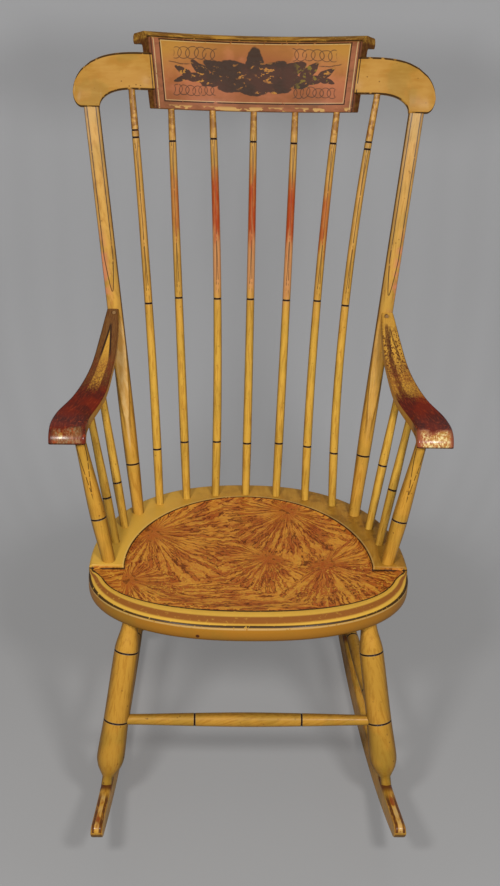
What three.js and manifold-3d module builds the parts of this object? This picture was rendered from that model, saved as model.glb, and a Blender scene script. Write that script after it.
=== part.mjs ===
import * as THREE from "three";
import { mergeVertices, toCreasedNormals } from "three/addons/utils/BufferGeometryUtils.js";
import Module from "manifold-3d";

// A Boston rocking chair with bamboo turnings: a saddled plank seat on four raked legs and two
// rockers, a bowed crest on two shaved posts and seven long spindles, and two serpentine arms.
// Millimetres and degrees. +Z is up, the sitter faces -Y, and the sitter's left is +X.
// Places are measured from the middle of the seat's widest line, and heights from the floor.

// Fits shared by all joints
const fitClearance = 0.3;
const cutOverrun = 6;

// Seat plank
const seatHeight = 374;
const seatPitchDegrees = 1.6;
const seatHalfWidth = 260;
const seatFrontReach = 159;
const seatBackReach = 268;
const seatOutlineExponent = 2.3;
const seatThickness = 37.5;
const seatTopRound = 7;
const seatBottomRound = 8;
const seatFrontRoll = 13;
const stepDrop = 7;
const saddleDepth = 17;
const saddleHalfWidth = 203;
const saddleBackReach = 222;
const saddleEdgeSlope = 3;
const saddleBackLip = 1.5;
const frontBandSide = 20;
const frontBandFront = 42;
const frontBandRise = 2.5;
const frontScoopInset = 8;

// Crest, in the plank's own directions: along its face, up its lean and back through its depth
const crestBottomY = 361;
const crestRise = 645;
const crestLeanDegrees = 19.6;
const crestBowRadius = 420;
const crestBowHalfLength = 150;
const crestEaseLength = 50;
const crestEarSlope = 0.04;
const tabletHalfWidthBottom = 156;
const tabletHalfWidthTop = 168;
const tabletHeight = 120;
const tabletThicknessBottom = 18;
const tabletThicknessTop = 25;
const tabletEndFlareDegrees = 21;
const tabletRollDepth = 62;
const tabletRollDiameter = 17;
const tabletFrontRoll = 20;
const railBottom = 28;
const railTop = 85.5;
const railThickness = 17;
const railSetback = 0.8;
const earHalfWidth = 289;
const earFootInner = 247;
const earFootOuter = 275;
const earFootHeight = -1;

// Back posts
const postSeatX = 188;
const postSeatY = 167;
const postCrestX = 259.5;
const postBottomDiameter = 20;
const postRingDiameter = 23.5;
const postWidth = 25;
const leftPostRingHeight = 108;
const rightPostRingHeight = 89;
const postFlatStart = 172;
const postFlatFull = 290;
const postFrontDepth = 6;
const postBackDepth = 8.5;
const postTenonDiameter = 10;
const postTenonLength = 22;

// Long back spindles, from the middle one outwards
const spindleSeatXs = [0, 54, 105, 152];
const spindleSeatYs = [235, 230, 218, 198];
const spindleCrestXs = [0, 66, 131, 196];
const spindleBottomDiameter = 14;
const spindleRingDiameter = 15.2;
const spindleMiddleDiameter = 13.6;
const spindleUpperDiameter = 12;
const spindleTopDiameter = 10.6;
const spindleCrestDepth = 17;

// Each long spindle as made, from the sitter's right to left: its sideways bow, then the places of
// its three scored rings as shares of its length
const spindleMakes = [
  [4, 0.1436, 0.509, 0.9001],
  [0, 0.157, 0.5397, 0.9254],
  [6, 0.1506, 0.5346, 0.9336],
  [1, 0.1434, 0.533, 0.9285],
  [1, 0.1476, 0.5331, 0.9261],
  [-7, 0.148, 0.5367, 0.9269],
  [-15, 0.1379, 0.5105, 0.883],
];

// Arms, by their middle line: rear end on the post, level front and scroll
const armRearRise = 342.7;
const armRearOut = 3.1;
const armRearAhead = 2.3;
const armFrontHeight = 222;
const armFrontX = 289;
const armScrollY = 33;
const armScrollRadius = 12;
const armThickness = 20;
const armRearWidth = 19;
const armFrontWidth = 58;
const armEdgeRound = 4;
const armSocketDepth = 12;

// Arm supports and short arm spindles, front to back
const supportSeatX = 229;
const supportSeatY = 16;
const supportArmX = 273;
const supportArmY = 54;
const supportBottomDiameter = 22;
const supportRingDiameter = 26;
const supportTopDiameter = 18;
const supportRingHeight = 76;
const armSpindleSeatXs = [221, 209];
const armSpindleSeatYs = [71, 121];
const armSpindleArmXs = [260, 246];
const armSpindleArmYs = [112, 160];
const armSpindleDiameter = 14;
const armSpindleRingDiameter = 15.5;
const armSpindleTopDiameter = 12.5;
const leftArmSpindleRingHeights = [100, 118];
const rightArmSpindleRingHeights = [81, 82];

// Legs
const frontLegSeatX = 187;
const frontLegSeatY = -99;
const frontLegFootX = 226;
const frontLegFootY = -184;
const rearLegSeatX = 150;
const rearLegSeatY = 150;
const rearLegFootX = 203;
const rearLegFootY = 237;
const legTopDiameter = 26;
const legUpperRingDiameter = 38;
const legLowerRingDiameter = 40;
const legBulgeDiameter = 44;
const legFootDiameter = 17;
const legUpperRingDrop = 51;
const legLowerRingDrop = 169;
const legBulgeRise = 46;
const legNeckRise = 11;
const legTenonDiameter = 10;
const legTenonLength = 24;

// Rockers
const rockerRadius = 1190;
const rockerLowestY = 118;
const rockerFrontReach = 432;
const rockerRearReach = 348;
const rockerThickness = 18;
const rockerDepth = 46;
const rockerTipDepth = 26;
const rockerTopRound = 5;
const rockerBottomRound = 2.5;
const rockerFacetCount = 16;
const rockerPegDiameter = 5;
const rockerPegDrop = 13;

// Stretchers
const stretcherEndDiameter = 17;
const stretcherRingDiameter = 21;
const stretcherMiddleDiameter = 23;
const stretcherTenonLength = 13;
const sideStretcherDrop = 27;
const rearStretcherDrop = 150;

// Joinery shared by the turned pieces
const seatSocketDepth = 26;
const legSocketDepth = 24;
const ringGrooveWidth = 3;
const ringGrooveDepth = 0.8;
const armPinDiameter = 6;
const armPinGrip = 14;
const crestPinDiameter = 4;
const crestPinInset = 12;
const crestPinLength = 13;

// Facets and proportions
const spindleSides = 10;
const supportSides = 12;
const legSides = 14;
const postSides = 14;
const pinSides = 8;
const seatSections = 52;
const tabletSections = 12;
const tabletFrontFacets = 5;
const tabletLipFacets = 6;
const postFlatFacets = 4;
const armScrollFacets = 4;
const armSearchSteps = 208;
const slopeStepShare = 0.001;
const middleShare = 0.5;
const bevelMiddleShare = 0.3;
const lipUndercutShare = 0.25;
const earTopPower = 1.6;
const earInnerPower = 1.3;
const earBulgeShare = 0.8;
const earInnerShares = [0.3, 0.55, 0.75, 0.9, 1];
const earOuterShares = [0.35, 0.65, 0.85, 0.97];
const earEdgeShare = 0.125;
const earEdgeLimitShare = 0.33;
const rockerEdgeLimitShare = 0.33;
const rockerTaperPower = 2.5;
const rockerNoseShares = [0.45, 0.8, 0.97];
const legBulgeEndShares = { rise: 0.4, width: 0.88 };
const legNeckStartShares = { rise: 0.8, width: 0.3 };
const saddleSidePower = 1.5;
const frontCreaseShare = 0.4;
const creaseDegrees = 35;
const spindleWaistShare = 0.95;
const stretcherRingShare = 0.29;
const saddleShares = [0, 0.3, 0.58, 0.8, 0.93];
const saddleDepthShares = [1, 0.97, 0.85, 0.56, 0.22];
const armStationCount = 26;
const armPathShares = [
  [0, 0, 0],
  [0.16, 0.3, 0.09],
  [0.34, 0.58, 0.23],
  [0.55, 0.84, 0.52],
  [0.74, 0.98, 0.9],
  [0.88, 1, 1],
];
const armWidthShares = [
  [0, 0],
  [0.12, 0.2],
  [0.25, 0.35],
  [0.4, 0.48],
  [0.6, 0.8],
  [0.76, 1],
  [1, 1],
];

const wasm = await Module();
wasm.setup();

const vec = (x, y, z) => new THREE.Vector3(x, y, z);
const mix = THREE.MathUtils.lerp;
const radians = THREE.MathUtils.degToRad;
const seatPitch = radians(seatPitchDegrees);
const crestLean = radians(crestLeanDegrees);

// Value of a polyline of [place, value] pairs at a place, level beyond its ends.
function along(pairs, place) {
  const next = pairs.findIndex(([p]) => p >= place);
  if (next <= 0) return next === 0 ? pairs[0][1] : pairs.at(-1)[1];
  const [p0, v0] = pairs[next - 1];
  const [p1, v1] = pairs[next];
  return mix(v0, v1, (place - p0) / (p1 - p0));
}

// Closed skin over rings of equal point counts, with a flat fan on each end ring.
function skin(rings) {
  const count = rings[0].length;
  const points = rings.flat();
  const triangles = [];
  for (let r = 0; r + 1 < rings.length; r++) {
    for (let i = 0; i < count; i++) {
      const j = (i + 1) % count;
      const [a, b, c, d] = [r * count + i, r * count + j, (r + 1) * count + j, (r + 1) * count + i];
      triangles.push([a, b, c], [a, c, d]);
    }
  }
  for (const [r, flip] of [[0, true], [rings.length - 1, false]]) {
    const middle = points.push(centroid(rings[r])) - 1;
    for (let i = 0; i < count; i++) {
      const [a, b] = [r * count + i, r * count + ((i + 1) % count)];
      triangles.push(flip ? [middle, b, a] : [middle, a, b]);
    }
  }
  return solidFrom(points, triangles);
}

function centroid(ring) {
  return ring.reduce((sum, p) => sum.add(p), vec(0, 0, 0)).divideScalar(ring.length);
}

// Solid of loose triangles whose corners meet, turned so that its faces point out.
function solidFrom(points, triangles) {
  const loose = new THREE.BufferGeometry().setFromPoints(points);
  loose.setIndex(triangles.flat());
  return solidOf(loose);
}

function solidOf(geometry) {
  const bare = new THREE.BufferGeometry();
  bare.setAttribute("position", geometry.getAttribute("position").clone());
  bare.setIndex(geometry.index);
  const merged = mergeVertices(bare);
  const corners = merged.index.array;
  const kept = [];
  for (let i = 0; i < corners.length; i += 3) {
    const [a, b, c] = corners.slice(i, i + 3);
    if (a !== b && b !== c && c !== a) kept.push(a, b, c);
  }
  const places = merged.getAttribute("position").array;
  const make = (order) =>
    new wasm.Manifold(
      new wasm.Mesh({ numProp: 3, vertProperties: places, triVerts: new Uint32Array(order) }),
    );
  const made = make(kept);
  return made.volume() > 0 ? made : make(kept.reverse());
}

function geometryOf(solid) {
  const { numProp, vertProperties, triVerts } = solid.getMesh();
  const geometry = new THREE.BufferGeometry();
  const places = Float32Array.from({ length: (vertProperties.length / numProp) * 3 }, (_, i) =>
    vertProperties[Math.floor(i / 3) * numProp + (i % 3)],
  );
  geometry.setAttribute("position", new THREE.BufferAttribute(places, 3));
  geometry.setIndex(new THREE.BufferAttribute(triVerts, 1));
  return toCreasedNormals(geometry, radians(creaseDegrees));
}

const paint = (color, roughness) => new THREE.MeshStandardMaterial({ color, roughness, metalness: 0 });
const ochrePaint = paint(0xc9963c, 0.45);
const seatPaint = paint(0xb5712c, 0.5);
const armPaint = paint(0x7a3320, 0.32);
const crestPaint = paint(0xb9763f, 0.48);
const bareWood = paint(0x8f6a3c, 0.7);

const chair = new THREE.Group();

function add(name, solid, material) {
  const mesh = new THREE.Mesh(geometryOf(solid), material);
  mesh.name = name;
  chair.add(mesh);
}

// Each side piece is made once for the sitter's left and mirrored for the right.
function addPair(name, solid, material) {
  add("left_" + name, solid, material);
  add("right_" + name, mirrored(solid), material);
}

function mirrored(solid) {
  return solid.mirror([1, 0, 0]);
}

// Point of the seat's deck plane, or of the plane a given drop below it.
function deckPoint(x, y, drop = 0) {
  return vec(x, y, seatHeight - Math.tan(seatPitch) * y - drop / Math.cos(seatPitch));
}

// Round bar between two points, as a cutter or a plain pin.
function bar(start, end, diameter, sides) {
  const length = start.distanceTo(end);
  const shape = new THREE.CylinderGeometry(diameter / 2, diameter / 2, length, sides);
  shape.translate(0, length / 2, 0);
  shape.applyQuaternion(turnTo(start, end));
  shape.translate(start.x, start.y, start.z);
  return solidOf(shape);
}

function turnTo(start, end) {
  const direction = end.clone().sub(start).normalize();
  return new THREE.Quaternion().setFromUnitVectors(vec(0, 1, 0), direction);
}

// Blind socket for a stick that runs from one point to the next: round its first or its last
// point, as deep as the stick reaches and a clearance more. It is turned as the stick is.
function socket([from, to], atLast, depth, diameter, sides) {
  const axis = to.clone().sub(from).normalize();
  const mouth = atLast ? to : from;
  const near = atLast ? -2 * cutOverrun : -depth - fitClearance;
  const far = atLast ? depth + fitClearance : 2 * cutOverrun;
  return bar(
    mouth.clone().addScaledVector(axis, near),
    mouth.clone().addScaledVector(axis, far),
    diameter + 2 * fitClearance,
    sides,
  );
}

// Outline of a turning: diameters at places along it, with a scored ring at each ring place.
function turnedOutline(diameters, ringPlaces) {
  const places = new Set(diameters.map(([place]) => place));
  for (const ring of ringPlaces) {
    [ring - ringGrooveWidth / 2, ring, ring + ringGrooveWidth / 2].forEach((p) => places.add(p));
  }
  const outline = [...places]
    .sort((a, b) => a - b)
    .map((place) => {
      const score = ringPlaces.includes(place) ? ringGrooveDepth : 0;
      return new THREE.Vector2(along(diameters, place) / 2 - score, place);
    });
  return [new THREE.Vector2(0, outline[0].y), ...outline, new THREE.Vector2(0, outline.at(-1).y)];
}

// Turned stick whose outline starts at the start point and runs towards the end point. A bow
// bends it sideways between the two points, most at the middle.
function turning(start, end, diameters, ringPlaces, sides, bow = 0) {
  const shape = new THREE.LatheGeometry(turnedOutline(diameters, ringPlaces), sides);
  shape.applyQuaternion(turnTo(start, end));
  shape.translate(start.x, start.y, start.z);
  const direction = end.clone().sub(start);
  const places = shape.getAttribute("position");
  for (let i = 0; i < places.count; i++) {
    const here = vec(places.getX(i), places.getY(i), places.getZ(i)).sub(start);
    const share = THREE.MathUtils.clamp(here.dot(direction) / direction.lengthSq(), 0, 1);
    places.setX(i, places.getX(i) + bow * (1 - (2 * share - 1) ** 2));
  }
  return solidOf(shape);
}

// Crest face: how far it stands forward of its middle at a place along the chair's width.
function crestBow(x) {
  const reach = Math.min(Math.abs(x), crestBowHalfLength);
  const bowed = crestBowRadius - Math.sqrt(crestBowRadius ** 2 - reach ** 2);
  const slope = reach / (crestBowRadius - bowed);
  const past = Math.abs(x) - reach;
  const eased = Math.min(past, crestEaseLength);
  const turned = slope * eased - ((slope - crestEarSlope) * eased ** 2) / (2 * crestEaseLength);
  return bowed + turned + crestEarSlope * (past - eased);
}

function crestSlope(x) {
  const step = crestBowRadius * slopeStepShare;
  return (crestBow(x + step) - crestBow(x - step)) / (2 * step);
}

const crestUp = vec(0, Math.sin(crestLean), Math.cos(crestLean));
const crestFront = vec(0, -Math.cos(crestLean), Math.sin(crestLean));

// Point of the crest: along the face, up the lean, and back from the face square to it.
function crestPoint(x, height, depth) {
  const back = vec(crestSlope(x), 0, 0).sub(crestFront).normalize();
  return vec(x, crestBottomY, seatHeight + crestRise)
    .addScaledVector(crestFront, crestBow(x))
    .addScaledVector(crestUp, height)
    .addScaledVector(back, depth);
}

// Tablet section as [depth, height] pairs: front face, rolled top, lip, back face.
function tabletSection() {
  const lip = tabletRollDiameter / 2;
  const lipCentre = [tabletRollDepth - lip, tabletHeight - lip];
  const front = [];
  for (let i = 0; i <= tabletFrontFacets; i++) {
    const angle = (Math.PI / 2) * (i / tabletFrontFacets);
    front.push([
      tabletFrontRoll * (1 - Math.cos(angle)),
      tabletHeight - tabletFrontRoll * (1 - Math.sin(angle)),
    ]);
  }
  const round = [];
  for (let i = 0; i <= tabletLipFacets; i++) {
    const angle = Math.PI / 2 - Math.PI * (i / tabletLipFacets);
    round.push([lipCentre[0] + lip * Math.cos(angle), lipCentre[1] + lip * Math.sin(angle)]);
  }
  const underside = tabletHeight - tabletRollDiameter;
  const undercut = lip * lipUndercutShare;
  return [
    [0, 0],
    ...front,
    ...round,
    [tabletThicknessTop + lip, underside],
    [tabletThicknessTop + undercut, underside - undercut],
    [tabletThicknessTop, underside - lip],
    [tabletThicknessBottom, 0],
  ];
}

function tablet() {
  const flare = Math.tan(radians(tabletEndFlareDegrees));
  const rings = [];
  for (let i = 0; i <= tabletSections; i++) {
    const share = (2 * i) / tabletSections - 1;
    rings.push(
      tabletSection().map(([depth, height]) => {
        const half = mix(tabletHalfWidthBottom, tabletHalfWidthTop, height / tabletHeight);
        return crestPoint(share * (half + flare * depth * share ** 2), height, depth);
      }),
    );
  }
  return skin(rings);
}

// Lower and upper edge of an ear at a place from the tablet outwards: a level rail that turns
// down over the post in two quarter ovals.
function earEdges(x) {
  const oval = (share) => Math.sqrt(Math.max(0, 1 - share ** 2));
  const shoulder = tabletHalfWidthTop;
  const outer = Math.max(0, (x - shoulder) / (earHalfWidth - shoulder));
  const top = mix(earBulgeHeight, railTop, oval(outer ** earTopPower));
  const inner = THREE.MathUtils.clamp((x - earInnerStart) / (earFootInner - earInnerStart), 0, 1);
  const past = Math.max(0, (x - earFootOuter) / (earHalfWidth - earFootOuter));
  const bottom =
    x < earFootInner
      ? mix(earFootHeight, railBottom, oval(inner ** earInnerPower))
      : mix(earBulgeHeight, earFootHeight, oval(past));
  return [bottom, Math.max(top, bottom)];
}
const earBulgeHeight = mix(earFootHeight, railBottom, earBulgeShare);
const earInnerStart = earFootInner - (railTop - railBottom);

function ear() {
  const start = crestBowHalfLength;
  const bends = [start, mix(start, earInnerStart, middleShare), earInnerStart];
  for (const share of earInnerShares) bends.push(mix(earInnerStart, earFootInner, share));
  bends.push(mix(earFootInner, earFootOuter, middleShare), earFootOuter);
  for (const share of earOuterShares) bends.push(mix(earFootOuter, earHalfWidth, share));
  const edge = railThickness * earEdgeShare;
  const rings = bends.map((x) => {
    const [bottom, top] = earEdges(x);
    const bevel = Math.min(edge, (top - bottom) * earEdgeLimitShare);
    const [front, back] = [railSetback, railSetback + railThickness];
    return [
      [bottom + bevel, front],
      [bottom, front + edge],
      [bottom, back - edge],
      [bottom + bevel, back],
      [top - bevel, back],
      [top, back - edge],
      [top, front + edge],
      [top - bevel, front],
    ].map(([height, depth]) => crestPoint(x, height, depth));
  });
  return skin(rings);
}

// Where a post's axis meets the deck and the ear's foot.
const postBase = deckPoint(postSeatX, postSeatY);
const postTop = crestPoint(postCrestX, earFootHeight, railSetback + railThickness / 2);
const postAxis = postTop.clone().sub(postBase).normalize();
const postLength = postBase.distanceTo(postTop);
const postSide = vec(0, 1, 0).cross(postAxis).normalize();
const postRear = postAxis.clone().cross(postSide).normalize();

// Ring of a post: round at the back and sides, shaved flat in front.
function postRing(place, width, front, back) {
  return Array.from({ length: postSides }, (_, i) => {
    const angle = (2 * Math.PI * (i + middleShare)) / postSides;
    const depth = Math.sin(angle) * (Math.sin(angle) < 0 ? width / 2 : back);
    return postBase
      .clone()
      .addScaledVector(postAxis, place)
      .addScaledVector(postSide, (width / 2) * Math.cos(angle))
      .addScaledVector(postRear, Math.max(depth, -front));
  });
}

function post(ringHeight) {
  const widths = [
    [0, postBottomDiameter],
    [ringHeight, postRingDiameter],
    [postFlatStart, postWidth],
  ];
  const backs = [
    [0, postBottomDiameter / 2],
    [ringHeight, postRingDiameter / 2],
    [postFlatStart, postWidth / 2],
    [postLength, postBackDepth],
  ];
  const fronts = [
    [postFlatStart, postWidth / 2],
    [postFlatFull, postFrontDepth],
  ];
  const half = ringGrooveWidth / 2;
  const places = [-seatSocketDepth, 0, ringHeight - half, ringHeight, ringHeight + half];
  for (let i = 0; i <= postFlatFacets; i++) {
    places.push(mix(postFlatStart, postFlatFull, i / postFlatFacets));
  }
  places.push(mix(postFlatFull, postLength, middleShare), postLength + cutOverrun);
  const rings = places.map((place) => {
    const score = place === ringHeight ? ringGrooveDepth : 0;
    const width = along(widths, place) - 2 * score;
    return postRing(place, width, along(fronts, place), along(backs, place) - score);
  });
  const trimmed = trim(skin(rings), postTop, crestUp.clone().negate());
  return trimmed.add(tenon(postTop, postAxis, postTenonLength, postTenonDiameter));
}

// Solid cut off square to a direction, a clearance short of a point, keeping the direction's side.
function trim(solid, point, direction) {
  return solid.trimByPlane(direction.toArray(), point.dot(direction) + fitClearance);
}

// Round tenon rooted in the solid behind a shoulder.
function tenon(shoulder, axis, length, diameter) {
  const root = shoulder.clone().addScaledVector(axis, -cutOverrun);
  return bar(root, shoulder.clone().addScaledVector(axis, length), diameter, supportSides);
}

// Long spindle by its number from the middle.
function spindleEnds(i) {
  const base = deckPoint(spindleSeatXs[i], spindleSeatYs[i]);
  const outer = spindleCrestXs[i] > tabletHalfWidthBottom;
  const thickness = outer ? railThickness : tabletThicknessBottom;
  const height = outer ? railBottom : 0;
  return [base, crestPoint(spindleCrestXs[i], height, thickness / 2)];
}

function spindle(i, [bow, ...ringShares]) {
  const [base, top] = spindleEnds(i);
  const length = base.distanceTo(top);
  const rings = ringShares.map((share) => share * length);
  const [low, middle, high] = rings;
  const diameters = [
    [-seatSocketDepth, spindleBottomDiameter],
    [0, spindleBottomDiameter],
    [low, spindleRingDiameter],
    [mix(low, middle, middleShare), spindleRingDiameter * spindleWaistShare],
    [middle, spindleMiddleDiameter],
    [mix(middle, high, middleShare), spindleMiddleDiameter * spindleWaistShare],
    [high, spindleUpperDiameter],
    [length, spindleTopDiameter],
    [length + spindleCrestDepth, spindleTopDiameter],
  ];
  return turning(base, top, diameters, rings, spindleSides, bow);
}

// Arm middle line, from the post's axis to the scroll: an S in side view, flaring outwards.
function armPath() {
  const level = deckPoint(0, armScrollY).z + armFrontHeight;
  const rear = postBase
    .clone()
    .addScaledVector(postAxis, armRearRise / postAxis.z)
    .add(vec(armRearOut, -armRearAhead, 0));
  const points = armPathShares.map(([run, fall, out]) =>
    vec(mix(rear.x, armFrontX, out), mix(rear.y, armScrollY, run), mix(rear.z, level, fall)),
  );
  for (let i = 0; i <= armScrollFacets; i++) {
    const angle = (Math.PI / 2) * (i / armScrollFacets);
    points.push(
      vec(
        armFrontX,
        armScrollY + armScrollRadius * (1 - Math.sin(angle)),
        level - armScrollRadius * (1 - Math.cos(angle)),
      ),
    );
  }
  return new THREE.CatmullRomCurve3(points, false, "centripetal");
}

function armSolid() {
  const path = armPath();
  const rings = [];
  const half = armThickness / 2;
  for (let i = 0; i <= armStationCount; i++) {
    const share = i / armStationCount;
    const centre = path.getPointAt(share);
    const tangent = path.getTangentAt(share);
    const normal = vec(1, 0, 0).cross(tangent).normalize().negate();
    const width = mix(armRearWidth, armFrontWidth, along(armWidthShares, share));
    const across = width / 2;
    const corner = armEdgeRound;
    const bevel = corner * bevelMiddleShare;
    rings.push(
      [
        [across - corner, half],
        [across - bevel, half - bevel],
        [across, half - corner],
        [across, corner - half],
        [across - corner, -half],
        [corner - across, -half],
        [-across, corner - half],
        [-across, half - corner],
        [bevel - across, half - bevel],
        [corner - across, half],
      ].map(([x, n]) => centre.clone().addScaledVector(normal, n).add(vec(x, 0, 0))),
    );
  }
  return skin(rings);
}

// Place on the arm's underside above a point of its plan.
function underArm(x, y) {
  const path = armPath();
  let best = path.getPointAt(0);
  for (let i = 0; i <= armSearchSteps; i++) {
    const share = i / armSearchSteps;
    const normal = vec(1, 0, 0).cross(path.getTangentAt(share)).normalize().negate();
    const under = path.getPointAt(share).addScaledVector(normal, -armThickness / 2);
    if (Math.abs(under.y - y) < Math.abs(best.y - y)) best = under;
  }
  return vec(x, y, best.z);
}

function armStickEnds(seatX, seatY, armX, armY) {
  return [deckPoint(seatX, seatY), underArm(armX, armY)];
}

function armSupport() {
  const [base, top] = armStickEnds(supportSeatX, supportSeatY, supportArmX, supportArmY);
  const length = base.distanceTo(top);
  const diameters = [
    [-seatSocketDepth, supportBottomDiameter],
    [0, supportBottomDiameter],
    [supportRingHeight, supportRingDiameter],
    [length, supportTopDiameter],
    [length + armSocketDepth, supportTopDiameter],
  ];
  return turning(base, top, diameters, [supportRingHeight], supportSides);
}

function armSpindle(i, ringHeight) {
  const [base, top] = armSpindleEnds(i);
  const length = base.distanceTo(top);
  const diameters = [
    [-seatSocketDepth, armSpindleDiameter],
    [0, armSpindleDiameter],
    [ringHeight, armSpindleRingDiameter],
    [length - 2 * armSocketDepth, armSpindleTopDiameter],
    [length + armSocketDepth, armSpindleTopDiameter],
  ];
  return turning(base, top, diameters, [ringHeight], spindleSides);
}

function armSpindleEnds(i) {
  return armStickEnds(
    armSpindleSeatXs[i],
    armSpindleSeatYs[i],
    armSpindleArmXs[i],
    armSpindleArmYs[i],
  );
}

// Rocker edges over the floor at a place from front to back.
function rockerBottom(y) {
  const step = (rockerFrontReach + rockerRearReach) / rockerFacetCount;
  const nearest = (y - rockerLowestY) / step;
  const from = Math.floor(nearest + middleShare) - middleShare;
  const rise = (n) => rockerRadius - Math.sqrt(rockerRadius ** 2 - (n * step) ** 2);
  return mix(rise(from), rise(from + 1), nearest - from) - rise(middleShare);
}

function rockerTop(y) {
  const reach = y < rockerLowestY ? rockerFrontReach : rockerRearReach;
  const share = Math.min(1, Math.abs(y - rockerLowestY) / reach);
  return rockerBottom(y) + mix(rockerDepth, rockerTipDepth, share ** rockerTaperPower);
}

// The rockers splay towards the front: their middle line runs through both feet of a side.
function rockerX(y) {
  return mix(frontLegFootX, rearLegFootX, (y - frontLegFootY) / (rearLegFootY - frontLegFootY));
}

function rocker() {
  const step = (rockerFrontReach + rockerRearReach) / rockerFacetCount;
  const places = [];
  const firstFacet = Math.ceil(-rockerFrontReach / step - middleShare);
  const lastFacet = Math.floor(rockerRearReach / step - middleShare);
  for (let n = firstFacet; n <= lastFacet; n++) places.push(rockerLowestY + (n + middleShare) * step);
  const tip = rockerTipDepth / 2;
  const rings = [];
  const section = (y, bottom, top) => {
    const x = rockerX(y);
    const half = rockerThickness / 2;
    const limit = (top - bottom) * rockerEdgeLimitShare;
    const crown = Math.min(rockerTopRound, limit);
    const heel = Math.min(rockerBottomRound, limit);
    const bevel = crown * bevelMiddleShare;
    return [
      [half - heel, bottom],
      [half, bottom + heel],
      [half, top - crown],
      [half - bevel, top - bevel],
      [half - crown, top],
      [crown - half, top],
      [bevel - half, top - bevel],
      [-half, top - crown],
      [-half, bottom + heel],
      [heel - half, bottom],
    ].map(([dx, z]) => vec(x + dx, y, z));
  };
  const noseRing = (end, direction, share) => {
    const y = end + direction * tip * share;
    const shrink = tip * (1 - Math.sqrt(1 - share ** 2));
    return section(y, rockerBottom(y) + shrink, rockerTop(y) - shrink);
  };
  const frontEnd = places[0];
  const rearEnd = places.at(-1);
  for (const share of [...rockerNoseShares].reverse()) rings.push(noseRing(frontEnd, -1, share));
  for (const y of places) rings.push(section(y, rockerBottom(y), rockerTop(y)));
  for (const share of rockerNoseShares) rings.push(noseRing(rearEnd, 1, share));
  return skin(rings);
}

// Legs run from the seat's underside to the top edge of the rocker.
const legEnds = {
  front: [
    deckPoint(frontLegSeatX, frontLegSeatY, seatThickness),
    vec(frontLegFootX, frontLegFootY, rockerTop(frontLegFootY)),
  ],
  rear: [
    deckPoint(rearLegSeatX, rearLegSeatY, seatThickness),
    vec(rearLegFootX, rearLegFootY, rockerTop(rearLegFootY)),
  ],
};

function leg(which) {
  const [top, foot] = legEnds[which];
  const axis = foot.clone().sub(top).normalize();
  const length = top.distanceTo(foot);
  const collar = legTopDiameter * Math.tan(axis.angleTo(vec(0, 0, -1)));
  const bulgeEnd = mix(legBulgeRise, legNeckRise, legBulgeEndShares.rise);
  const neckStart = mix(legBulgeRise, legNeckRise, legNeckStartShares.rise);
  const diameters = [
    [-legSocketDepth, legTopDiameter],
    [collar, legTopDiameter],
    [legUpperRingDrop, legUpperRingDiameter],
    [legLowerRingDrop, legLowerRingDiameter],
    [length - legBulgeRise, legBulgeDiameter],
    [length - bulgeEnd, legBulgeDiameter * legBulgeEndShares.width],
    [length - neckStart, mix(legFootDiameter, legBulgeDiameter, legNeckStartShares.width)],
    [length - legNeckRise, legFootDiameter],
    [length + cutOverrun, legFootDiameter],
  ];
  const rings = [legUpperRingDrop, legLowerRingDrop];
  const body = trim(turning(top, foot, diameters, rings, legSides), foot, rockerTopNormal(foot.y));
  return body.add(tenon(foot, axis, legTenonLength, legTenonDiameter));
}

function rockerTopNormal(y) {
  const step = rockerDepth / 4;
  const rise = rockerTop(y + step) - rockerTop(y - step);
  return vec(0, -rise, 2 * step).normalize();
}

function legPoint(which, drop, side = 1) {
  const [top, foot] = legEnds[which];
  const point = top.clone().addScaledVector(foot.clone().sub(top).normalize(), drop);
  return point.setX(point.x * side);
}

// Stretcher between two points on leg axes: its ends sit in the legs by the tenon's length.
function stretcherEnds(from, to) {
  const axis = to.clone().sub(from).normalize();
  const inset = legLowerRingDiameter / 2 - stretcherTenonLength;
  return [from.clone().addScaledVector(axis, inset), to.clone().addScaledVector(axis, -inset)];
}

function stretcher([start, end]) {
  const length = start.distanceTo(end);
  const rings = [length * stretcherRingShare, length * (1 - stretcherRingShare)];
  const diameters = [
    [0, stretcherEndDiameter],
    [stretcherTenonLength, stretcherEndDiameter],
    [rings[0], stretcherRingDiameter],
    [length / 2, stretcherMiddleDiameter],
    [rings[1], stretcherRingDiameter],
    [length - stretcherTenonLength, stretcherEndDiameter],
    [length, stretcherEndDiameter],
  ];
  return turning(start, end, diameters, rings, spindleSides);
}

// Sockets of a stretcher in the legs at its two ends.
function stretcherSockets([start, end]) {
  const axis = end.clone().sub(start).normalize();
  const mouths = [
    start.clone().addScaledVector(axis, stretcherTenonLength),
    end.clone().addScaledVector(axis, -stretcherTenonLength),
  ];
  return [false, true].map((atLast) =>
    socket(mouths, atLast, stretcherTenonLength, stretcherEndDiameter, spindleSides),
  );
}

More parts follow.
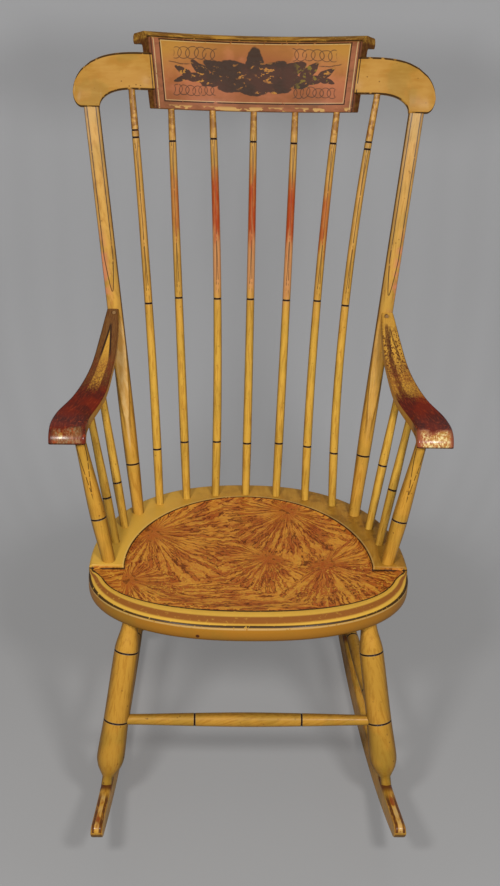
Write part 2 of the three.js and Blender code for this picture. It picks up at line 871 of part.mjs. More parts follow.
// Seat section from the middle of the saddle over the rim to the middle of the underside, as
// [reach, drop] pairs in a direction round the seat. Behind the widest line the saddle ends at
// the raised deck; in front of it, at a lower band that rolls over the front edge.
function seatSection(angle, isBack) {
  const oval = (halfWidth, reach, power) =>
    (Math.abs(Math.cos(angle) / halfWidth) ** power + Math.abs(Math.sin(angle) / reach) ** power) **
    (-1 / power);
  const rim = oval(seatHalfWidth, isBack ? seatBackReach : seatFrontReach, seatOutlineExponent);
  const scoopFront = seatFrontReach - frontBandFront - frontScoopInset;
  const scoopWidth = saddleHalfWidth - saddleEdgeSlope;
  const scoop = oval(scoopWidth, isBack ? saddleBackReach - saddleEdgeSlope : scoopFront, 2);
  const side = Math.abs(Math.cos(angle)) ** saddleSidePower;
  const lip = isBack ? mix(saddleBackLip, stepDrop, side) : stepDrop;
  const section = saddleShares.map((share, i) => [
    scoop * share,
    mix(lip, saddleDepth, saddleDepthShares[i]),
  ]);
  section.push([scoop, lip]);
  if (isBack) {
    const edge = oval(saddleHalfWidth, saddleBackReach, 2);
    section.push([edge, 0], [mix(edge, rim, middleShare), 0]);
  } else {
    const line = oval(
      seatHalfWidth - frontBandSide,
      seatFrontReach - frontBandFront,
      seatOutlineExponent,
    );
    section.push([line, stepDrop], [mix(line, rim, frontCreaseShare), stepDrop - frontBandRise]);
  }
  const round = isBack ? seatTopRound : mix(seatFrontRoll, seatTopRound, side);
  const level = isBack ? 0 : stepDrop;
  const bevel = round * bevelMiddleShare;
  const lowBevel = seatBottomRound * bevelMiddleShare;
  section.push(
    [rim - round, level],
    [rim - bevel, level + bevel],
    [rim, level + round],
    [rim, seatThickness - seatBottomRound],
    [rim - lowBevel, seatThickness - lowBevel],
    [rim - seatBottomRound, seatThickness],
    [0, seatThickness],
  );
  return section.map(([reach, drop]) =>
    deckPoint(reach * Math.cos(angle), reach * Math.sin(angle), drop),
  );
}

function seatPlank() {
  const sections = [];
  const half = seatSections / 2;
  for (let i = 0; i <= half; i++) sections.push(seatSection((Math.PI * i) / half, true));
  for (let i = 0; i <= half; i++) sections.push(seatSection(Math.PI * (1 + i / half), false));
  const count = sections[0].length;
  const triangles = [];
  sections.forEach((_, s) => {
    const next = (s + 1) % sections.length;
    for (let i = 0; i + 1 < count; i++) {
      const [a, b] = [s * count + i, s * count + i + 1];
      const [c, d] = [next * count + i + 1, next * count + i];
      triangles.push([a, b, c], [a, c, d]);
    }
  });
  return solidFrom(sections.flat(), triangles);
}

// Pins
function armPinEnds() {
  const arm = armPath().getPointAt(0);
  const place = arm.clone().sub(postBase).dot(postAxis);
  const centre = postBase.clone().addScaledVector(postAxis, place);
  const back = along([[postFlatStart, postWidth / 2], [postLength, postBackDepth]], place);
  return [
    centre.clone().addScaledVector(postRear, -postFrontDepth - armPinGrip),
    centre.clone().addScaledVector(postRear, back - fitClearance),
  ];
}

function crestPinEnds() {
  const middle = postTop.clone().addScaledVector(postAxis, crestPinInset);
  const height = middle.clone().sub(postTop).dot(crestUp) + earFootHeight;
  const back = railSetback + railThickness;
  return [
    crestPoint(middle.x, height, back - crestPinLength),
    crestPoint(middle.x, height, back),
  ];
}

function rockerPegEnds(which) {
  const [top, foot] = legEnds[which];
  const axis = foot.clone().sub(top).normalize();
  const middle = foot.clone().addScaledVector(axis, rockerPegDrop / -axis.z);
  const across = vec(rockerThickness / 2, 0, 0);
  return [middle.clone().sub(across), middle.clone().add(across)];
}

// Bore for a pin, open past one or both ends.
function pinBore([start, end], diameter, bothEnds) {
  const axis = end.clone().sub(start).normalize();
  const from = start.clone().addScaledVector(axis, bothEnds ? -cutOverrun : -fitClearance);
  return bar(from, end.clone().addScaledVector(axis, cutOverrun), diameter + 2 * fitClearance, pinSides);
}

const cut = (solid, cutters) => cutters.reduce((left, cutter) => left.subtract(cutter), solid);
const both = (solids) => solids.flatMap((solid) => [solid, mirrored(solid)]);

// Seat with a blind socket for every stick above it and every leg below it
const supportEnds = armStickEnds(supportSeatX, supportSeatY, supportArmX, supportArmY);
const armSpindleCount = armSpindleSeatXs.length;
const eachArmSpindle = Array.from({ length: armSpindleCount }, (_, i) => armSpindleEnds(i));
const postEnds = [postBase, postTop];
const seatSockets = both([
  socket(postEnds, false, seatSocketDepth, postBottomDiameter, postSides),
  socket(supportEnds, false, seatSocketDepth, supportBottomDiameter, supportSides),
  ...eachArmSpindle.map((ends) =>
    socket(ends, false, seatSocketDepth, armSpindleDiameter, spindleSides),
  ),
  ...spindleSeatXs
    .map((_, i) => i)
    .slice(1)
    .map((i) => socket(spindleEnds(i), false, seatSocketDepth, spindleBottomDiameter, spindleSides)),
  socket(legEnds.front, false, legSocketDepth, legTopDiameter, legSides),
  socket(legEnds.rear, false, legSocketDepth, legTopDiameter, legSides),
]);
seatSockets.push(socket(spindleEnds(0), false, seatSocketDepth, spindleBottomDiameter, spindleSides));
add("seat", cut(seatPlank(), seatSockets), seatPaint);

// Crest: the tablet and both ears are one piece, bored for the posts and the long spindles
const crestSockets = both([
  socket(postEnds, true, postTenonLength, postTenonDiameter, supportSides),
  ...spindleSeatXs
    .map((_, i) => i)
    .slice(1)
    .map((i) => socket(spindleEnds(i), true, spindleCrestDepth, spindleTopDiameter, spindleSides)),
  pinBore(crestPinEnds(), crestPinDiameter, false),
]);
crestSockets.push(socket(spindleEnds(0), true, spindleCrestDepth, spindleTopDiameter, spindleSides));
const crest = tablet().add(ear()).add(mirrored(ear()));
add("crest", cut(crest, crestSockets), crestPaint);

// Back
const crestPinHole = pinBore(crestPinEnds(), crestPinDiameter, false);
const armPinHole = pinBore(armPinEnds(), armPinDiameter, false);
const postHoles = [crestPinHole, armPinHole];
add("left_back_post", cut(post(leftPostRingHeight), postHoles), ochrePaint);
add("right_back_post", mirrored(cut(post(rightPostRingHeight), postHoles)), ochrePaint);
spindleMakes.forEach(([bow, ...ringShares], i) => {
  const fromMiddle = i - (spindleMakes.length - 1) / 2;
  const name = `back_spindle_${i + 1}`;
  if (fromMiddle < 0) {
    add(name, mirrored(spindle(-fromMiddle, [-bow, ...ringShares])), ochrePaint);
  } else {
    add(name, spindle(fromMiddle, [bow, ...ringShares]), ochrePaint);
  }
});
addPair("crest_pin", bar(...crestPinEnds(), crestPinDiameter, pinSides), bareWood);

// Arms
const armFace = postBase.clone().addScaledVector(postRear, -postFrontDepth);
const armSockets = [
  socket(supportEnds, true, armSocketDepth, supportTopDiameter, supportSides),
  ...eachArmSpindle.map((ends) =>
    socket(ends, true, armSocketDepth, armSpindleTopDiameter, spindleSides),
  ),
  armPinHole,
];
const arm = trim(armSolid(), armFace, postRear.clone().negate());
addPair("arm", cut(arm, armSockets), armPaint);
addPair("arm_support", armSupport(), ochrePaint);
["front", "rear"].forEach((place, i) => {
  const [leftRing, rightRing] = [leftArmSpindleRingHeights[i], rightArmSpindleRingHeights[i]];
  add(`left_arm_spindle_${place}`, armSpindle(i, leftRing), ochrePaint);
  add(`right_arm_spindle_${place}`, mirrored(armSpindle(i, rightRing)), ochrePaint);
});
addPair("arm_pin", bar(...armPinEnds(), armPinDiameter, pinSides), bareWood);

// Legs, stretchers and rockers
const frontStretcher = stretcherEnds(
  legPoint("front", legLowerRingDrop, -1),
  legPoint("front", legLowerRingDrop),
);
const rearStretcher = stretcherEnds(
  legPoint("rear", rearStretcherDrop, -1),
  legPoint("rear", rearStretcherDrop),
);
const sideDrop = legLowerRingDrop + sideStretcherDrop;
const sideStretcher = stretcherEnds(legPoint("front", sideDrop), legPoint("rear", sideDrop));
const [frontSideSocket, rearSideSocket] = stretcherSockets(sideStretcher);
const pegEnds = { front: rockerPegEnds("front"), rear: rockerPegEnds("rear") };
const pegHoles = Object.values(pegEnds).map((ends) => pinBore(ends, rockerPegDiameter, true));
const frontLegCuts = [stretcherSockets(frontStretcher)[1], frontSideSocket, pegHoles[0]];
const rearLegCuts = [stretcherSockets(rearStretcher)[1], rearSideSocket, pegHoles[1]];
addPair("front_leg", cut(leg("front"), frontLegCuts), ochrePaint);
addPair("rear_leg", cut(leg("rear"), rearLegCuts), ochrePaint);
add("front_stretcher", stretcher(frontStretcher), ochrePaint);
add("rear_stretcher", stretcher(rearStretcher), ochrePaint);
addPair("side_stretcher", stretcher(sideStretcher), ochrePaint);
const legTenonSockets = Object.values(legEnds).map(([top, foot]) =>
  socket([top, foot], true, legTenonLength, legTenonDiameter, supportSides),
);
addPair("rocker", cut(rocker(), [...legTenonSockets, ...pegHoles]), ochrePaint);
addPair("front_rocker_peg", bar(...pegEnds.front, rockerPegDiameter, pinSides), bareWood);
addPair("rear_rocker_peg", bar(...pegEnds.rear, rockerPegDiameter, pinSides), bareWood);

// The group's origin is the middle of the box that holds the chair, on the floor.
const bounds = new THREE.Box3().setFromObject(chair);
const middle = bounds.getCenter(vec(0, 0, 0));
chair.children.forEach((mesh) => mesh.position.set(-middle.x, -middle.y, -bounds.min.z));

export default chair;
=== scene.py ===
"""Looks of a painted Boston rocking chair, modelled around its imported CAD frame."""

import math

import bmesh
import bpy
from mathutils import Matrix, Vector


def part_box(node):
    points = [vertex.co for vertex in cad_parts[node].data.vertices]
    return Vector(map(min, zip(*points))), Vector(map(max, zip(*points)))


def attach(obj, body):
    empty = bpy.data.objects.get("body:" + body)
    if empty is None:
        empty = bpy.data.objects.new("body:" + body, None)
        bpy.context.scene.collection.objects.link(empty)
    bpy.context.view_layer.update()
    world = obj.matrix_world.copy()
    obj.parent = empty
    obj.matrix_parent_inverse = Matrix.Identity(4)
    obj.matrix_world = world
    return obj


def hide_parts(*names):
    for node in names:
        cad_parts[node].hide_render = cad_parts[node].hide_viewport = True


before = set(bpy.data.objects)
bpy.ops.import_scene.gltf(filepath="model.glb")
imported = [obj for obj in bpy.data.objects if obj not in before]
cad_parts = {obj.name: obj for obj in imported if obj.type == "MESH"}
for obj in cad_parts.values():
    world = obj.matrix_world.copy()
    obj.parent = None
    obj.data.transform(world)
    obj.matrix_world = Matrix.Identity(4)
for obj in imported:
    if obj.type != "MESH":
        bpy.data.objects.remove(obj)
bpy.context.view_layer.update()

bl_info = {
    "name": "Boston Rocking Chair",
    "version": (1, 0, 0),
    "blender": (4, 5, 0),
    "location": "3D View > Sidebar > Chair",
    "description": "Models and paints a bamboo-turned rocking chair piece by piece",
    "category": "Object",
}

BODY = "root"
SEAT_FRONT_REACH = 0.159
WIDEST_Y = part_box("seat")[0].y + SEAT_FRONT_REACH


# Numbers and curves


def mix(a, b, share):
    return a + (b - a) * share


def clamp(value, low=0.0, high=1.0):
    return max(low, min(high, value))


def smooth(share):
    share = clamp(share)
    return share * share * (3 - 2 * share)


def mm(*values):
    """Millimetres as metres."""
    scaled = tuple(value / 1000 for value in values)
    return scaled if len(scaled) > 1 else scaled[0]


def along(pairs, place):
    """Value of a polyline of (place, value) pairs, level beyond its ends."""
    if place <= pairs[0][0]:
        return pairs[0][1]
    for (p0, v0), (p1, v1) in zip(pairs, pairs[1:]):
        if place <= p1:
            return mix(v0, v1, (place - p0) / (p1 - p0))
    return pairs[-1][1]


def curved(pairs, place):
    """Like along, but rounded at its corners and never past their values."""
    if place <= pairs[0][0] or place >= pairs[-1][0]:
        return along(pairs, place)
    slopes = [(v1 - v0) / (p1 - p0) for (p0, v0), (p1, v1) in zip(pairs, pairs[1:])]
    bends = [slopes[0]]
    for before, after in zip(slopes, slopes[1:]):
        bends.append(2 * before * after / (before + after) if before * after > 0 else 0)
    bends.append(slopes[-1])
    for i, ((p0, v0), (p1, v1)) in enumerate(zip(pairs, pairs[1:])):
        if place <= p1:
            span = p1 - p0
            t = (place - p0) / span
            return (
                v0 * (1 + 2 * t) * (1 - t) ** 2
                + bends[i] * span * t * (1 - t) ** 2
                + v1 * t * t * (3 - 2 * t)
                + bends[i + 1] * span * t * t * (t - 1)
            )
    return pairs[-1][1]


def quarter(steps, first=0):
    """Sine and cosine at even steps of a quarter turn."""
    turns = [math.pi / 2 * step / steps for step in range(first, steps + 1)]
    return [(math.sin(turn), math.cos(turn)) for turn in turns]


def rounded_box(half_width, near, far, near_round, far_round):
    """Outline from the right end of a box's near side round by its far side to the left."""
    way = 1 if far > near else -1
    soft = [(1 - s, 1 - c) for s, c in quarter(3)]
    right = [(half_width - near_round * a, near + way * near_round * b) for a, b in soft]
    right += [(half_width - far_round * b, far - way * far_round * a) for a, b in soft]
    return right + [(-across, level) for across, level in reversed(right)]


def oval_reach(angle, half_width, reach, power):
    """How far an oval reaches in a direction round its middle."""
    across = abs(math.cos(angle)) / half_width
    ahead = abs(math.sin(angle)) / reach
    return (across**power + ahead**power) ** (-1 / power)


# Sizes and colours that a user may change


def Value(name, default, description, **settings):
    return bpy.props.FloatProperty(name=name, default=default, description=description, **settings)


def Length(name, metres, description):
    return Value(name, metres, description, min=0, precision=4, unit="LENGTH")


def Place(name, metres, description):
    return Value(name, metres, description, precision=4, unit="LENGTH")


def Angle(name, degrees, description):
    return Value(name, math.radians(degrees), description, unit="ROTATION")


def Power(name, watts, description):
    return Value(name, watts, description, min=0, unit="POWER")


def Colour(name, red, green, blue, description):
    """Colour property whose default is given as it looks on a screen, from 0 to 255."""
    linear = [
        (c / 255 / 12.92) if c < 11 else ((c / 255 + 0.055) / 1.055) ** 2.4
        for c in (red, green, blue)
    ]
    return bpy.props.FloatVectorProperty(
        name=name, default=(*linear, 1), size=4, min=0, max=1, subtype="COLOR",
        description=description,
    )


class ChairSeatSizes(bpy.types.PropertyGroup):
    height: Length("Height", 0.374, "Deck over the floor at the seat's widest line")
    pitch: Angle("Pitch", 1.6, "Fall of the deck towards the back")
    half_width: Length("Half width", 0.26, "Middle to rim at the widest line")
    back_reach: Length("Back reach", 0.268, "Widest line to the back rim")
    squareness: Value("Squareness", 2.3, "2 for an ellipse, more for fuller corners", min=2, max=4)
    thickness: Length("Thickness", 0.0375, "Plank from deck to underside")
    saddle_depth: Length("Saddle depth", 0.017, "Lowest point of the saddle under the deck")
    saddle_half_width: Length("Saddle half width", 0.203, "Middle to the saddle's side edge")
    saddle_back_reach: Length("Saddle back reach", 0.222, "Widest line to the saddle's back edge")
    step: Length("Step", 0.007, "Height of the deck over the front band")
    band_side: Length("Band at the side", 0.02, "Width of the front band beside the step")
    band_front: Length("Band in front", 0.042, "Width of the front band at the middle")


class ChairBackSizes(bpy.types.PropertyGroup):
    post_width: Length("Post width", 0.025, "Width of a back post from its flat upwards")
    post_foot: Length("Post foot", 0.02, "Diameter of a back post at the deck")
    post_ring: Length("Post ring", 0.0235, "Diameter of a back post at its scored ring")
    flat_start: Length("Flat start", 0.172, "Where the post's shaved flat begins over the deck")
    flat_full: Length("Flat full", 0.29, "Where the post's shaved flat is at its full depth")
    spindle_foot: Length("Spindle foot", 0.014, "Diameter of a long spindle at the deck")
    spindle_ring: Length("Spindle ring", 0.0152, "Diameter of a long spindle at its lowest ring")
    spindle_middle: Length("Spindle middle", 0.0136, "Diameter of a long spindle at its second ring")
    spindle_upper: Length("Spindle upper", 0.012, "Diameter of a long spindle at its third ring")
    spindle_top: Length("Spindle top", 0.0106, "Diameter of a long spindle at the crest")


class ChairCrestSizes(bpy.types.PropertyGroup):
    bottom_y: Place("Bottom place", 0.361, "Lower edge of the tablet behind the seat's widest line")
    rise: Length("Rise", 0.645, "Lower edge of the tablet over the deck")
    lean: Angle("Lean", 19.6, "Lean of the crest backwards")
    bow_radius: Length("Bow radius", 0.42, "Radius of the bow seen from above")
    half_width_bottom: Length("Half width below", 0.156, "Tablet's middle to its end at the lower edge")
    half_width_top: Length("Half width above", 0.168, "Tablet's middle to its end at the top")
    height: Length("Height", 0.12, "Tablet from its lower edge to its top")
    roll_depth: Length("Roll depth", 0.062, "How far the rolled top reaches back")
    roll_diameter: Length("Roll diameter", 0.017, "Thickness of the roll's lip")
    ear_half_width: Length("Ear half width", 0.289, "Middle of the crest to an ear's outermost point")
    ear_thickness: Length("Ear thickness", 0.017, "Thickness of the ears")


class ChairArmSizes(bpy.types.PropertyGroup):
    front_height: Length("Front height", 0.222, "Arm's middle line over the deck at its level front")
    front_x: Length("Front place", 0.289, "Arm's middle line outwards at its front")
    scroll_y: Place("Scroll place", 0.033, "Arm's scroll behind the seat's widest line")
    scroll_radius: Length("Scroll radius", 0.012, "Radius that the arm's middle line rolls down on")
    rear_rise: Length("Rear rise", 0.3427, "Arm's rear end over the foot of the post")
    thickness: Length("Thickness", 0.02, "Thickness of the arm")
    rear_width: Length("Rear width", 0.019, "Width of the arm at the post")
    front_width: Length("Front width", 0.058, "Width of the arm at its front")


class ChairBaseSizes(bpy.types.PropertyGroup):
    leg_top: Length("Leg top", 0.026, "Diameter of a leg in the seat")
    leg_upper_ring: Length("Leg upper ring", 0.038, "Diameter of a leg at its upper ring")
    leg_lower_ring: Length("Leg lower ring", 0.04, "Diameter of a leg at its lower ring")
    leg_bulge: Length("Leg bulge", 0.044, "Largest diameter of a leg, over its foot")
    leg_foot: Length("Leg foot", 0.017, "Diameter of a leg on its rocker")
    rocker_radius: Length("Rocker radius", 1.19, "Radius that the chair rocks on")
    rocker_thickness: Length("Rocker thickness", 0.018, "Thickness of a rocker")
    rocker_depth: Length("Rocker depth", 0.046, "Depth of a rocker at its lowest point")
    rocker_tip_depth: Length("Rocker tip depth", 0.026, "Depth of a rocker at its tips")
    stretcher_end: Length("Stretcher end", 0.017, "Diameter of a stretcher in the legs")
    stretcher_ring: Length("Stretcher ring", 0.021, "Diameter of a stretcher at its rings")
    stretcher_middle: Length("Stretcher middle", 0.023, "Diameter of a stretcher at its middle")


class ChairPaintColours(bpy.types.PropertyGroup):
    ochre: Colour("Ochre", 210, 156, 58, "Yellow ochre of the turned pieces")
    # Ochre shade also serves as painted shade on the seat's deck and front edge.
    ochre_shade: Colour("Ochre shade", 168, 112, 30, "Darker ochre where varnish has gathered")
    ochre_pale: Colour("Ochre pale", 200, 150, 74, "Faded ochre on the upper sticks and flats")
    scored: Colour("Scored line", 44, 22, 9, "Black-brown of rings and pinstripes")
    # Cream also serves as a painted highlight beside the scored rings of turnings.
    cream_and_highlight: Colour("Cream line", 238, 214, 150, "Cream of the fine lines")
    rust: Colour("Rust", 168, 66, 24, "Rust red that shows through worn sticks")
    rose: Colour("Rose", 196, 118, 82, "Pinkish tone of faded places")
    grain_light: Colour("Grain light", 204, 134, 46, "Light strokes of the seat's graining")
    grain_mid: Colour("Grain middle", 172, 92, 32, "Middle strokes of the seat's graining")
    grain_dark: Colour("Grain dark", 78, 32, 8, "Dark strokes of the seat's graining")
    stripe: Colour("Band stripe", 142, 82, 32, "Brown stripe on the seat's front band")
    arm_red: Colour("Arm red", 104, 30, 12, "Red-brown of the arm's scroll")
    arm_brown: Colour("Arm brown", 114, 74, 30, "Brown of the arm behind the scroll")
    salmon: Colour("Salmon", 150, 86, 44, "Field of the crest's tablet")
    mauve: Colour("Mauve", 134, 82, 50, "Border of the crest's tablet")
    gold: Colour("Gold", 182, 128, 52, "Yellow corners of the tablet and worn gilding")
    spray: Colour("Spray", 54, 42, 34, "Dark leaves on the tablet")
    olive: Colour("Olive", 128, 112, 36, "Olive glints among the leaves")
    grain_gap: Colour("Grain gap", 208, 152, 54, "Yellow ground between the seat's strokes")
    grain_red: Colour("Grain red", 160, 72, 26, "Reddish clouds in the seat's graining")
    # The band's ochre also serves as painted light on the seat's deck.
    band: Colour("Band", 220, 172, 68, "Sunny ochre of the seat's front band")
    ear: Colour("Ear", 184, 134, 54, "Ochre of the crest's ears")
    # Grime also serves as painted shade: on the sides and backs of turnings, on the seat's deck towards
    # the sitter's left and under the seat's front edge.
    grime_and_shade: Colour("Grime", 86, 54, 20, "Dirt and darkened varnish")
    # Bare wood also serves as a painted highlight on the posts' flats.
    bare_pale: Colour("Bare wood", 216, 176, 110, "Pale wood where the paint has chipped")
    spray_plum: Colour("Spray plum", 76, 46, 38, "Plum-brown of faded leaves")
    arm_deep: Colour("Arm deep red", 78, 26, 16, "Deepest red-brown of the arms")
    flank: Colour("Arm flank", 168, 122, 50, "Tan of the arms' sides")
    rocker_dark: Colour("Rocker dark", 84, 34, 14, "Dark strokes on the rockers")
    rocker_red: Colour("Rocker red", 140, 52, 24, "Red-brown strokes on the rockers")
    end_grain: Colour("End grain", 150, 112, 68, "Bare wood of pins and pegs")


class ChairStageSettings(bpy.types.PropertyGroup):
    camera_place: bpy.props.FloatVectorProperty(
        name="Camera place", default=(-0.074776, -1.813548, 1.596743), size=3,
        subtype="TRANSLATION", description="Where the camera stands",
    )
    camera_yaw: Angle("Camera yaw", 2.3158, "Turn of the camera to its right")
    camera_pitch: Angle("Camera pitch", 29.6786, "How far the camera looks down")
    camera_roll: Angle("Camera roll", 1.7658, "Turn of the camera round its own axis")
    lens: Value("Lens", 52.82, "Focal length on a 36 mm high sensor", min=1, unit="CAMERA")
    backdrop: Colour("Backdrop", 196, 197, 199, "Grey paper where it hangs")
    backdrop_floor: Colour("Backdrop floor", 160, 159, 158, "Grey paper where it lies on the floor")
    backdrop_glow: Colour("Backdrop glow", 161, 160, 160, "Grey that evens the paper out on camera")
    wall_radius: Length("Wall radius", 1.15, "Middle of the floor to the round backdrop")
    sweep: Length("Sweep", 0.45, "Radius of the bend between floor and backdrop")
    lamp_width: Length("Lamp width", 0.28, "Diameter of the two lamps in front")
    right_power: Power("Right power", 15, "Lamp on the sitter's right")
    left_power: Power("Left power", 15, "Lamp on the sitter's left")
    back_power: Power("Back power", 17, "Wide lamp high behind the chair")
    sky: Value("Sky", 0.2, "Even light from all round", min=0, max=4, subtype="FACTOR")


GROUPS = {
    "chair_seat": ChairSeatSizes,
    "chair_back": ChairBackSizes,
    "chair_crest": ChairCrestSizes,
    "chair_arm": ChairArmSizes,
    "chair_base": ChairBaseSizes,
    "chair_paint": ChairPaintColours,
    "chair_stage": ChairStageSettings,
}


def sizes(name):
    return getattr(bpy.context.scene, "chair_" + name)


# Places on the chair. Lengths along the chair start at the seat's widest line.


def deck_point(x, y, drop=0.0):
    seat = sizes("seat")
    height = seat.height - math.tan(seat.pitch) * y - drop / math.cos(seat.pitch)
    return Vector((x, WIDEST_Y + y, height))


BOW_HALF_LENGTH, EASE_LENGTH = mm(150, 50)
EAR_SLOPE = 0.04
RAIL_BOTTOM, RAIL_TOP, RAIL_SETBACK = mm(28, 85.5, 0.8)
EAR_FOOT_INNER, EAR_FOOT_OUTER, EAR_FOOT_HEIGHT = mm(247, 275, -1)


def crest_bow(x):
    """How far the crest's face stands ahead of its middle."""
    radius = sizes("crest").bow_radius
    reach = min(abs(x), BOW_HALF_LENGTH)
    bowed = radius - math.sqrt(radius**2 - reach**2)
    slope = reach / (radius - bowed)
    past = abs(x) - reach
    eased = min(past, EASE_LENGTH)
    turned = slope * eased - (slope - EAR_SLOPE) * eased**2 / (2 * EASE_LENGTH)
    return bowed + turned + EAR_SLOPE * (past - eased)


def crest_directions():
    lean = sizes("crest").lean
    up = Vector((0, math.sin(lean), math.cos(lean)))
    ahead = Vector((0, -math.cos(lean), math.sin(lean)))
    return up, ahead


def crest_point(x, height, depth):
    """Point of the crest: along its face, up its lean and back from the face."""
    crest = sizes("crest")
    up, ahead = crest_directions()
    step = 0.0004
    slope = (crest_bow(x + step) - crest_bow(x - step)) / (2 * step)
    back = (Vector((slope, 0, 0)) - ahead).normalized()
    middle = Vector((x, WIDEST_Y + crest.bottom_y, sizes("seat").height + crest.rise))
    return middle + ahead * crest_bow(x) + up * height + back * depth


POST_SEAT = mm(188, 167)
POST_CREST_X = mm(259.5)


def post_ends():
    depth = RAIL_SETBACK + sizes("crest").ear_thickness / 2
    return deck_point(*POST_SEAT), crest_point(POST_CREST_X, EAR_FOOT_HEIGHT, depth)


def post_directions():
    """Foot of the left post, its length, and directions along it, to its side and rearwards."""
    base, top = post_ends()
    axis = (top - base).normalized()
    side = Vector((0, 1, 0)).cross(axis).normalized()
    return base, (top - base).length, axis, side, axis.cross(side).normalized()


# Meshes. Each is closed, with its faces outwards, and its object sits at the origin.


def start_fresh():
    if bpy.context.mode != "OBJECT":
        bpy.ops.object.mode_set(mode="OBJECT")
    bpy.ops.object.select_all(action="DESELECT")


def activate(piece):
    """Makes a piece the only selected one."""
    start_fresh()
    bpy.context.view_layer.objects.active = piece
    piece.select_set(True)


def edit_all():
    bpy.ops.object.mode_set(mode="EDIT")
    bpy.ops.mesh.select_all(action="SELECT")


def start_disc(name, sides, radius=1):
    """A disc that faces downwards, ready to be drawn out upwards."""
    start_fresh()
    bpy.ops.mesh.primitive_circle_add(vertices=sides, radius=radius, fill_type="NGON")
    piece = bpy.context.object
    piece.name = piece.data.name = name
    edit_all()
    bpy.ops.mesh.select_mode(type="FACE")
    bpy.ops.mesh.flip_normals()
    bpy.ops.mesh.select_all(action="SELECT")
    return piece


def draw_out(rise, grown=1, level=0.0):
    """Extrudes what is selected upwards, then widens it round a point of the axis."""
    bpy.ops.mesh.extrude_region_move(TRANSFORM_OT_translate={"value": (0, 0, rise)})
    if grown != 1:
        bpy.ops.transform.resize(value=(grown, grown, 1), center_override=(0, 0, level))


def round_angle(x, y, count):
    """Number of a circle's vertex by where it stands."""
    return round(math.atan2(-x, y) / (2 * math.pi) * count) % count


def keep_marks(mesh, name, vectors):
    """Keeps a vector for each vertex as an attribute that a material can read."""
    mesh.attributes.new(name, "FLOAT_VECTOR", "POINT")
    for item, vector in zip(mesh.attributes[name].data, vectors):
        item.vector = vector


def keep_score(mesh, places, rings):
    """Keeps how near each vertex is to a scored ring: 1 in the groove, fading to 0 beside it."""
    mesh.attributes.new("score", "FLOAT", "POINT")
    for item, place in zip(mesh.attributes["score"].data, places):
        near = min(abs(place - ring) for ring in rings)
        item.value = clamp(1.5 - near / (GROOVE_WIDTH / 2))


def lofted(name, rings, marks=None):
    """Skin over rings of equal point counts: a disc drawn out ring by ring, then shaped.

    marks maps a name to rows of vectors, one for each point, kept as an attribute.
    """
    count = len(rings[0])
    piece = start_disc(name, count)
    for _ in rings[1:]:
        draw_out(1)
    bpy.ops.object.mode_set(mode="OBJECT")
    mesh = piece.data
    spots = [(round(v.co.z), round_angle(v.co.x, v.co.y, count)) for v in mesh.vertices]
    for vertex, (ring, turn) in zip(mesh.vertices, spots):
        vertex.co = rings[ring][turn]
    for mark, rows in (marks or {}).items():
        keep_marks(mesh, mark, [rows[ring][turn] for ring, turn in spots])
    return piece


MERGE_DISTANCE = 0.000002


def face_outwards(piece):
    """Merges corners that meet, drops faces without an area and turns the faces outwards."""
    activate(piece)
    edit_all()
    bpy.ops.mesh.remove_doubles(threshold=MERGE_DISTANCE)
    bpy.ops.mesh.dissolve_degenerate(threshold=MERGE_DISTANCE / 2)
    bpy.ops.mesh.normals_make_consistent(inside=False)
    bpy.ops.object.mode_set(mode="OBJECT")


def shade(piece, degrees=38):
    activate(piece)
    bpy.ops.object.shade_smooth_by_angle(angle=math.radians(degrees))


def mirrored(piece, name):
    """Copy of a piece for the other side of the chair, with its own mesh."""
    twin = piece.copy()
    twin.data = piece.data.copy()
    twin.name = twin.data.name = name
    bpy.context.collection.objects.link(twin)
    activate(twin)
    bpy.ops.transform.resize(value=(-1, 1, 1), center_override=(0, 0, 0))
    bpy.ops.object.transform_apply(location=True, rotation=True, scale=True)
    edit_all()
    bpy.ops.mesh.normals_make_consistent(inside=False)
    bpy.ops.object.mode_set(mode="OBJECT")
    return twin


def finish(piece, node, material):
    """Gives a finished piece its paint and its place in the table."""
    piece.data.materials.clear()
    piece.data.materials.append(material)
    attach(piece, BODY)
    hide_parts(node)


GROOVE_WIDTH, GROOVE_DEPTH = mm(2.6, 0.8)
GROOVE_REACH = 0.8 * GROOVE_WIDTH / 2
GROOVE_STATIONS = (-1.5, -0.8, 0, 0.8, 1.5)


def groove(place, rings):
    """Depth that a scored ring cuts at a place along a turning."""
    near = min(abs(place - ring) for ring in rings)
    return GROOVE_DEPTH * clamp(1 - near / GROOVE_REACH)


def turning_places(pairs, rings, pitch):
    """Stations of a turning: its ends, even steps and the edges of each scored ring."""
    start, end = pairs[0][0], pairs[-1][0]
    count = max(2, round((end - start) / pitch))
    places = [mix(start, end, i / count) for i in range(count + 1)]
    half = GROOVE_WIDTH / 2
    clear = [place for place in places if all(abs(place - ring) > 1.6 * half for ring in rings)]
    for ring in rings:
        clear += [ring + station * half for station in GROOVE_STATIONS]
    return sorted(clear)


